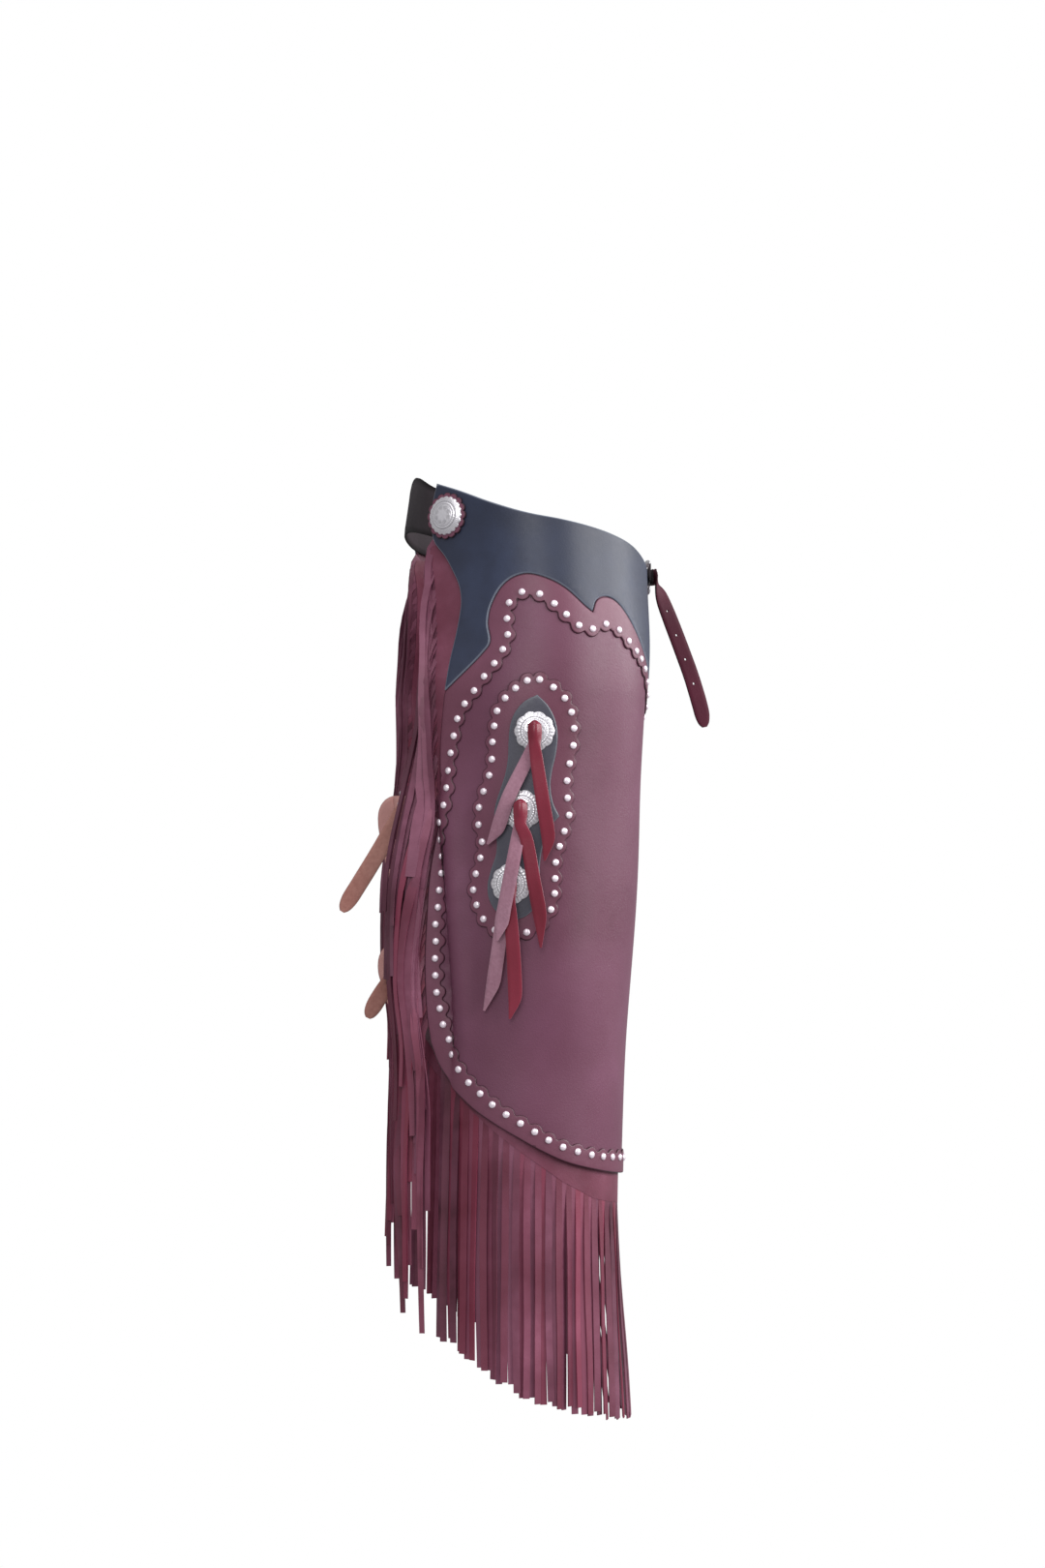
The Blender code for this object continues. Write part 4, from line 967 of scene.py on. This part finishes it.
def string(name, place, tails, side):
    """One string through a concho: two tails of (s, z, off, width), folded at the top."""
    base, (u, v, w) = seat(place[0], place[1], INLAID[1] + 0.3, CONCHO_RADIUS)
    under, over = tails

    def tail(rows):
        across = np.cross(wall(*rows[-2][:3]) - wall(*rows[0][:3]), w)
        if np.dot(across, u) < 0:
            across = -across
        body = [(wall(s, z, off), across, width) for s, z, off, width in rows]
        corner, tip = body[-2], body[-1]
        near = corner[0] + (body[-3][0] - corner[0]) * 0.08
        after = corner[0] + (tip[0] - corner[0]) * 0.12
        return body[:-2] + [(near, across, 13.0), (after, across, 11.7), tip]

    loop = ((-11.0, 5.0, 11.4, 0.0), (-7.0, 5.2, 11.0, 0.0), (0.0, 5.4, 11.0, 0.0),
            (5.0, 6.0, 8.4, 0.4), (7.6, 7.6, 8.2, 2.2), (6.2, 9.0, 11.6, 4.2),
            (1.0, 9.4, 13.4, 5.2), (-6.0, 9.8, 12.8, 4.2), (-13.0, 11.4, 11.0, 1.0))
    stations = tail(under)[::-1]
    stations += [(base + v * up + w * out, u, wide, lift) for up, out, wide, lift in loop]
    stations += tail(over)
    return band(name, stations, 1.4, [STRING_RED, STRING_MAUVE], side, step=1.6, soft=0.25)


BAR_SIDES = 10


def ring_sweep(path, wide, high):
    """Points and faces of a closed bar, as wide as each of wide and as high as high."""
    path = np.array(path)
    n = len(path)
    middle = path.mean(axis=0)
    way = unit(np.roll(path, -1, axis=0) - np.roll(path, 1, axis=0))
    flat = unit(np.cross(path[0] - middle, path[n // 4] - middle))
    points = []
    for i in range(n):
        out = np.cross(way[i], flat) * wide[i]
        points += [path[i] + spoke for angle, spoke in spokes(out, flat * high, BAR_SIDES)]
    faces = [tuple(k % len(points) for k in face) for face in collar(n + 1, BAR_SIDES)]
    return points, faces


STRAP_WIDE, STRAP_THICK = 16.0, 2.2


def buckle(name, origin, along_x, outward, side, bar=4.0):
    """A heel-bar buckle with an engraved frame, and its prong."""
    ex, en = unit(np.array(along_x, float)), np.array(outward, float)
    en = unit(en - ex * np.dot(en, ex))
    ez = np.cross(ex, en)
    origin = np.array(origin, float)

    def place(x, n, z=0.0):
        return origin + ex * x + en * n + ez * z

    tall = STRAP_WIDE / 2 + 1.6
    mid = tall + bar / 2
    corners = [(-11.3, -mid + 0.6), (0.0, -mid - 0.2), (10.5, -mid + 0.2), (12.4, -mid + 3.0),
               (12.4, 0.0), (12.4, mid - 3.0), (10.5, mid - 0.2), (0.0, mid + 0.2),
               (-11.3, mid - 0.6), (-11.5, 0.0)]
    flat = smooth_path(corners, 0.7, closed=True, corner=75)
    path = [place(x, 0.0, z) for x, z in flat]
    thick = [1.5 + (bar / 2 - 1.75) * ramp(abs(z), tall - 3.0, tall + 2.0) for x, z in flat]
    points, faces = ring_sweep(path, thick, 1.25)
    cut = [0.3 + 0.3 * math.sin((i // BAR_SIDES) * 1.1) for i in range(len(points))]
    piece(name, points, faces, [SILVER], side, attributes={"cut": np.clip(cut, 0, 1)})
    prong = [(place(x, n), ez, wide) for x, n, wide in
             ((2.0, 4.2, 2.6), (4.5, 4.0, 2.6), (8.5, 3.2, 2.3), (12.0, 2.6, 2.1), (15.2, 2.2, 1.4))]
    pin = band(name + "_prong", prong, 1.8, [SILVER], side, step=1.5, soft=0.7)
    layer = pin.data.attributes.new("cut", "FLOAT", "POINT")
    layer.data.foreach_set("value", np.full(len(pin.data.vertices), 0.1, dtype=np.float32))
    return place, ez


def chape(name, start, place, ez, side, finish):
    """The short strap that holds a buckle, folded round its bar."""
    fold = ((-20.0, -3.2), (-12.0, -2.9), (-8.4, -2.4), (-6.8, 0.0), (-8.4, 2.4),
            (-12.0, 2.9), (-19.0, 2.2))
    stations = [(p, ez, STRAP_WIDE - 1.0) for p in start + [place(x, n) for x, n in fold]]
    return band(name, stations, 1.6, [finish], side, step=2.0)


THROUGH = ((14.0, -2.8), (9.2, -2.8), (3.5, 0.2), (-2.0, 4.0), (-8.0, 5.9), (-14.0, 6.2))


def holes_along(tail, shares, radius):
    """Round cutters through a strap's tail at shares of the way along it."""
    points = np.array([p for p, w, wide in tail], float)
    across = np.array([w for p, w, wide in tail], float)
    arc = np.concatenate([[0], np.cumsum(np.linalg.norm(np.diff(points, axis=0), axis=1))])
    cutters = []
    for share in shares:
        at = share * arc[-1]
        middle, ahead, wide = (
            np.array([np.interp(spot, arc, rows[:, k]) for k in range(3)])
            for spot, rows in ((at, points), (at + 3, points), (at, across)))
        way = unit(ahead - middle)
        wide = unit(wide - way * np.dot(way, wide))
        out = np.cross(way, wide)
        rings = [middle + spoke * radius + out * end for end in (-4.0, 4.0)
                 for angle, spoke in spokes(way, wide, 12)]
        cutters.append((rings, tube(2, 12)))
    return cutters


def back_belt():
    """The wide belt between the yokes, seated inside them and arched over the back."""
    thick, gap = 3.0, 0.7
    rows = []
    for s, top, bottom in ((-102.0, 12.0, -34.0), (-110.0, 14.5, -32.0), (-118.0, 17.0, -30.0),
                           (-126.0, 20.0, -28.0), (-134.0, 23.0, -26.0)):
        rows.append([wall(s, top + (bottom - top) * k / 8, -gap - thick / 2) for k in range(9)])
    rows = np.array(rows)
    ends, before = rows[-1], rows[-2]
    for share in np.linspace(0.04, 1.0, 25):
        line = []
        for k in range(9):
            way = unit((ends[k] - before[k]) * np.array([1.0, 1.0, 0.0]))
            f = k / 8
            lift, back = 39.0 - 54.0 * f, 112.5 + 9.0 * f
            p0 = ends[k]
            p1 = p0 + way * 14.0
            p1[2] += (lift - p0[2]) * 0.35
            p2, p3 = np.array([-45.0, back, lift]), np.array([0.0, back, lift])
            a, b = 1 - share, share
            line.append(a ** 3 * p0 + 3 * a * a * b * p1 + 3 * a * b * b * p2 + b ** 3 * p3)
        rows = np.concatenate([rows, [line]])
    mirror = rows[-2::-1] * np.array([-1.0, 1.0, 1.0])
    rows = np.concatenate([rows, mirror])
    normal = unit(np.cross(np.gradient(rows, axis=0), np.gradient(rows, axis=1)))
    soft = np.array([0.6] + [0.0] * 7 + [0.6])
    half = thick / 2 - soft[None, :, None]
    rings = np.concatenate([rows + normal * half, (rows - normal * half)[:, ::-1]], axis=1)
    rim = np.tile(np.array([1.0] + [0.0] * 7 + [1.0]), len(rows) * 2)
    return piece("back_belt", rings.reshape(-1, 3), tube(len(rows), 18), [BELT_BLACK],
                 attributes={"rim": rim})


FRONT_TAIL = (
    ((-24.0, -123.4, -57.5), (-0.10, 0.00, 0.99), 16.0),
    ((-28.0, -124.2, -61.0), (-0.45, 0.15, 0.85), 16.0),
    ((-30.5, -126.0, -68.0), (-0.56, 0.50, 0.45), 16.0),
    ((-32.0, -130.0, -81.0), (-0.42, 0.84, 0.05), 16.0),
    ((-33.5, -137.5, -101.0), (-0.28, 0.90, -0.28), 16.0),
    ((-35.0, -148.0, -129.0), (-0.22, 0.91, -0.32), 16.0),
    ((-36.0, -158.0, -157.0), (-0.20, 0.92, -0.30), 16.0),
    ((-37.0, -166.5, -186.0), (-0.20, 0.94, -0.25), 16.0),
    ((-37.1, -168.6, -195.0), (-0.20, 0.94, -0.20), 15.0),
    ((-37.2, -170.2, -203.0), (-0.20, 0.95, -0.15), 10.0),
    ((-37.2, -170.8, -206.0), (-0.20, 0.96, -0.12), 4.5),
)
TAILS = {
    ("upper", "right"): (
        ((-117.0, 128.0, -284.0), (0.00, 0.00, 1.00), 16.0),
        ((-118.0, 134.0, -288.5), (0.00, 0.45, 0.90), 16.0),
        ((-119.5, 141.5, -300.0), (0.00, 0.75, 0.60), 16.0),
        ((-122.0, 158.0, -328.0), (0.00, 0.85, 0.52), 16.0),
        ((-124.0, 176.0, -357.0), (0.00, 0.85, 0.52), 16.0),
        ((-125.2, 186.2, -373.0), (0.00, 0.85, 0.52), 15.0),
        ((-125.8, 190.5, -380.0), (0.00, 0.85, 0.52), 10.0),
        ((-126.0, 192.2, -382.8), (0.00, 0.85, 0.52), 4.5),
    ),
    ("lower", "right"): (
        ((-117.0, 128.0, -434.0), (0.00, 0.00, 1.00), 16.0),
        ((-118.0, 134.5, -437.5), (0.00, 0.45, 0.90), 16.0),
        ((-119.0, 143.0, -446.0), (0.00, 0.70, 0.70), 16.0),
        ((-120.0, 155.0, -462.0), (0.00, 0.85, 0.52), 16.0),
        ((-120.4, 162.5, -474.5), (0.00, 0.88, 0.48), 15.0),
        ((-120.5, 166.2, -481.5), (0.00, 0.88, 0.48), 10.0),
        ((-120.5, 167.5, -484.0), (0.00, 0.88, 0.48), 4.5),
    ),
    ("upper", "left"): (
        ((-117.0, 128.5, -284.0), (0.00, 0.00, 1.00), 16.0),
        ((-118.0, 132.5, -290.5), (0.00, 0.60, 0.80), 16.0),
        ((-119.0, 133.0, -304.0), (0.00, 0.97, 0.15), 16.0),
        ((-120.0, 127.0, -335.0), (0.00, 0.99, -0.12), 16.0),
        ((-120.5, 121.5, -366.0), (0.00, 0.99, -0.12), 16.0),
        ((-120.5, 120.5, -376.0), (0.00, 0.99, -0.10), 14.5),
        ((-120.5, 120.0, -382.5), (0.00, 0.99, -0.10), 10.0),
        ((-120.5, 119.8, -385.0), (0.00, 0.99, -0.10), 4.5),
    ),
    ("lower", "left"): (
        ((-117.0, 128.5, -434.0), (0.00, 0.00, 1.00), 16.0),
        ((-118.0, 132.5, -440.5), (0.00, 0.60, 0.80), 16.0),
        ((-119.0, 133.0, -454.0), (0.00, 0.97, 0.15), 16.0),
        ((-120.0, 126.5, -474.0), (0.00, 0.99, -0.12), 16.0),
        ((-120.0, 125.6, -483.0), (0.00, 0.99, -0.10), 14.5),
        ((-120.0, 125.1, -488.5), (0.00, 0.99, -0.10), 10.0),
        ((-120.0, 125.0, -491.0), (0.00, 0.99, -0.10), 4.5),
    ),
}


def front_fastening():
    place, ez = buckle("front_buckle", (-5.0, -118.6, -57.0), (1, 0, 0), (0, -1, 0), 1, bar=8.0)
    chape("front_chape", [wall(156, -54, 7.4), wall(178, -56, 6.8)], place, ez, 1, BELT_BLACK)
    up = np.array([0.0, 0.0, 1.0])
    mirror = np.array([-1.0, 1.0, 1.0])
    stations = [(wall(s, z, off) * mirror, up, STRAP_WIDE)
                for s, z, off in ((150, -54, 7.4), (169, -56, 7.2), (188, -57, 6.6))]
    stations += [(place(x, n), up, STRAP_WIDE) for x, n in THROUGH]
    stations += [(np.array(p), np.array(w), wide) for p, w, wide in FRONT_TAIL]
    strap = band("front_strap", stations, STRAP_THICK, [STRAP], 1, step=3.0, soft=0.5)
    carve(strap, holes_along(FRONT_TAIL, (0.24, 0.40, 0.56, 0.72), 1.2))


def leg_fastening(level, height, tail, side, word):
    base = "leg_%s_" + level + "_" + word
    up = np.array([0.0, 0.0, 1.0])
    place, ez = buckle(base % "buckle", (-103.0, 118.0, height), (1, -0.04, 0), (0, 1, 0), side)
    lead = [wall(-98, height, -4.2), wall(-112, height, -4.6),
            np.array([-142.5, 108.5, height]), np.array([-131.5, 113.8, height])]
    chape(base % "chape", lead, place, ez, side, STRAP)
    stations = [(wall(s, height, off), up, STRAP_WIDE)
                for s, off in ((204, -2.3), (214, -2.2), (226, -2.0))]
    way = ((-13.0, -31.0), (-8.5, -8.0), (-8.5, 20.0), (-14.0, 50.0), (-26.0, 78.0),
           (-45.0, 100.0), (-68.0, 111.5))
    stations += [(np.array([x, y, height]), up, STRAP_WIDE) for x, y in way]
    stations += [(place(x, n), up, STRAP_WIDE) for x, n in THROUGH]
    stations += [(np.array(p), np.array(w), wide) for p, w, wide in tail]
    band(base % "strap", stations, STRAP_THICK, [TAN, TAN_SUEDE], side, step=3.0, soft=0.5)


for side, word in ((1, "right"), (-1, "left")):
    yoke_low = smooth_path(YOKE_LOW, 2.5)
    yoke_rear = smooth_path(YOKE_REAR, 3.0)
    rear = smooth_path(WALL_REAR, 4.0)
    hem = smooth_path(HEM, 4.0)
    inner = smooth_path(WALL_INNER, 5.0)
    top = smooth_path(YOKE_TOP, 4.0)
    front = smooth_path([(194, -57)] + YOKE_FRONT, 4.0)
    close = smooth_path([(-134.5, -16), (-133, 2), (-126, 25)], 3.0)
    tucked = [np.array([(-126, 22)])] + [top[1:] - np.array([0, 3.0])]
    panel_outline = np.concatenate(tucked + [front[1:], inner[::-1], hem[::-1], rear[::-1],
                                             yoke_rear[1:], close[1:-1]])
    yoke_outline = np.concatenate([top, front[1:], yoke_low, yoke_rear, close[1:-1]])
    panel = hide("leg_panel_" + word, panel_outline, PANEL, [BURGUNDY, SUEDE], side,
                 step=4.5, round_=0.7, reach=1.2)
    yoke = hide("yoke_" + word, yoke_outline, YOKE, [YOKE_BLACK, SUEDE_DARK], side, step=4.5,
                reach=1.5)
    low_edge = shifted([(228, -183)] + [tuple(p) for p in yoke_low], 0.8)
    outer = np.concatenate([low_edge, rear[1:], hem[1:]])
    border_outline = np.concatenate([outer, scallops(SPOTS)[::-1]])
    border = hide("border_" + word, border_outline, BORDER, [TRIM], side)
    plaque = hide("plaque_" + word, scallops(PLAQUE_SPOTS, closed=True), PLAQUE, [TRIM], side)
    inlay = hide("plaque_inlay_" + word, smooth_path(INLAY, 2.0, closed=True, corner=44), INLAID,
                 [INLAY_BLACK], side, round_=0.7, reach=1.4, rim_reach=1.6)
    border_spots = domes("border_spots_" + word, SPOTS, BORDER[1], SPOT_RADIUS, side)
    plaque_spots = domes("plaque_spots_" + word, PLAQUE_SPOTS, PLAQUE[1], SPOT_RADIUS, side)
    for number, (s, z) in enumerate(CONCHOS, 1):
        base, axes = seat(s, z, INLAID[1] + 0.3, CONCHO_RADIUS)
        concho("concho_%d_%s" % (number, word), base, axes, CONCHO_RADIUS, 3.2, 10, side,
               slots=True)
        string("thong_%d_%s" % (number, word), (s, z), STRINGS[number - 1], side)
    base, axes = seat(-114.0, -7.0, YOKE[1] + 0.3, 22.0)
    rosette("hip_rosette_" + word, base, axes, 22.6, side)
    concho("hip_concho_" + word, base + axes[2] * 2.1, axes, 18.8, 5.0, 20, side)
    rear_strands = rear_fringe("rear_fringe_" + word, side)
    hem_strands = hem_fringe("hem_fringe_" + word, side)
    leg_fastening("upper", -282.0, TAILS["upper", word], side, word)
    leg_fastening("lower", -432.0, TAILS["lower", word], side, word)
    for obj, outline, hangs, extra in (
            (panel, panel_outline, [yoke], [border, plaque, inlay, border_spots, plaque_spots,
                                            rear_strands, hem_strands]),
            (yoke, yoke_outline, ["back_belt"], [])):
        size = (outline.max(axis=0) - outline.min(axis=0)) * MM
        float(area_of(outline)) * MM * MM
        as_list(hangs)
        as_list(extra)

back_belt()
front_fastening()

# The camera and the light

behind = math.radians(6.5)
camera_data = bpy.data.cameras.new("camera")
camera_data.lens = 74.07
camera_data.sensor_width = 36.0
camera = bpy.data.objects.new("camera", camera_data)
bpy.context.collection.objects.link(camera)
aim = np.array([0.0058 * math.sin(behind), 0.0058 * math.cos(behind), -0.262])
camera.location = aim + np.array([-math.cos(behind), math.sin(behind), 0.0]) * 3.2
camera.rotation_euler = Vector((math.cos(behind), -math.sin(behind), 0.0)).to_track_quat(
    "-Z", "Y").to_euler()
bpy.context.scene.camera = camera

# A white backdrop that lights the object less brightly than it shows.
world = bpy.data.worlds.new("studio")
world.use_nodes = True
tree = world.node_tree
shown = tree.nodes["Background"]
shown.inputs["Color"].default_value = (1.0, 1.0, 1.0, 1.0)
shown.inputs["Strength"].default_value = 1.0
fill = tree.nodes.new("ShaderNodeBackground")
fill.inputs["Color"].default_value = (0.97, 0.98, 1.0, 1.0)
fill.inputs["Strength"].default_value = 0.42
rays = tree.nodes.new("ShaderNodeLightPath")
choice = tree.nodes.new("ShaderNodeMixShader")
tree.links.new(rays.outputs["Is Camera Ray"], choice.inputs["Fac"])
tree.links.new(fill.outputs[0], choice.inputs[1])
tree.links.new(shown.outputs[0], choice.inputs[2])
tree.links.new(choice.outputs[0], tree.nodes["World Output"].inputs["Surface"])
bpy.context.scene.world = world
bpy.context.scene.view_settings.view_transform = "Standard"

#           place                  size   watts
LIGHTS = (
    ((-1.5, -2.4, 0.8),            2.0,   85.0),
    ((0.5, -2.7, 0.6),             1.6,   45.0),
    ((-3.2, 0.9, 1.2),             1.6,   42.0),
    ((-1.3, 0.4, 2.8),             2.0,   30.0),
)
for number, (place, size, watts) in enumerate(LIGHTS):
    data = bpy.data.lights.new("softbox_%d" % number, "AREA")
    data.shape = "SQUARE"
    data.size = size
    data.energy = watts
    lamp = bpy.data.objects.new("softbox_%d" % number, data)
    bpy.context.collection.objects.link(lamp)
    lamp.location = place
    lamp.rotation_euler = (Vector((0.0, 0.0, -0.4)) - Vector(place)).to_track_quat(
        "-Z", "Y").to_euler()
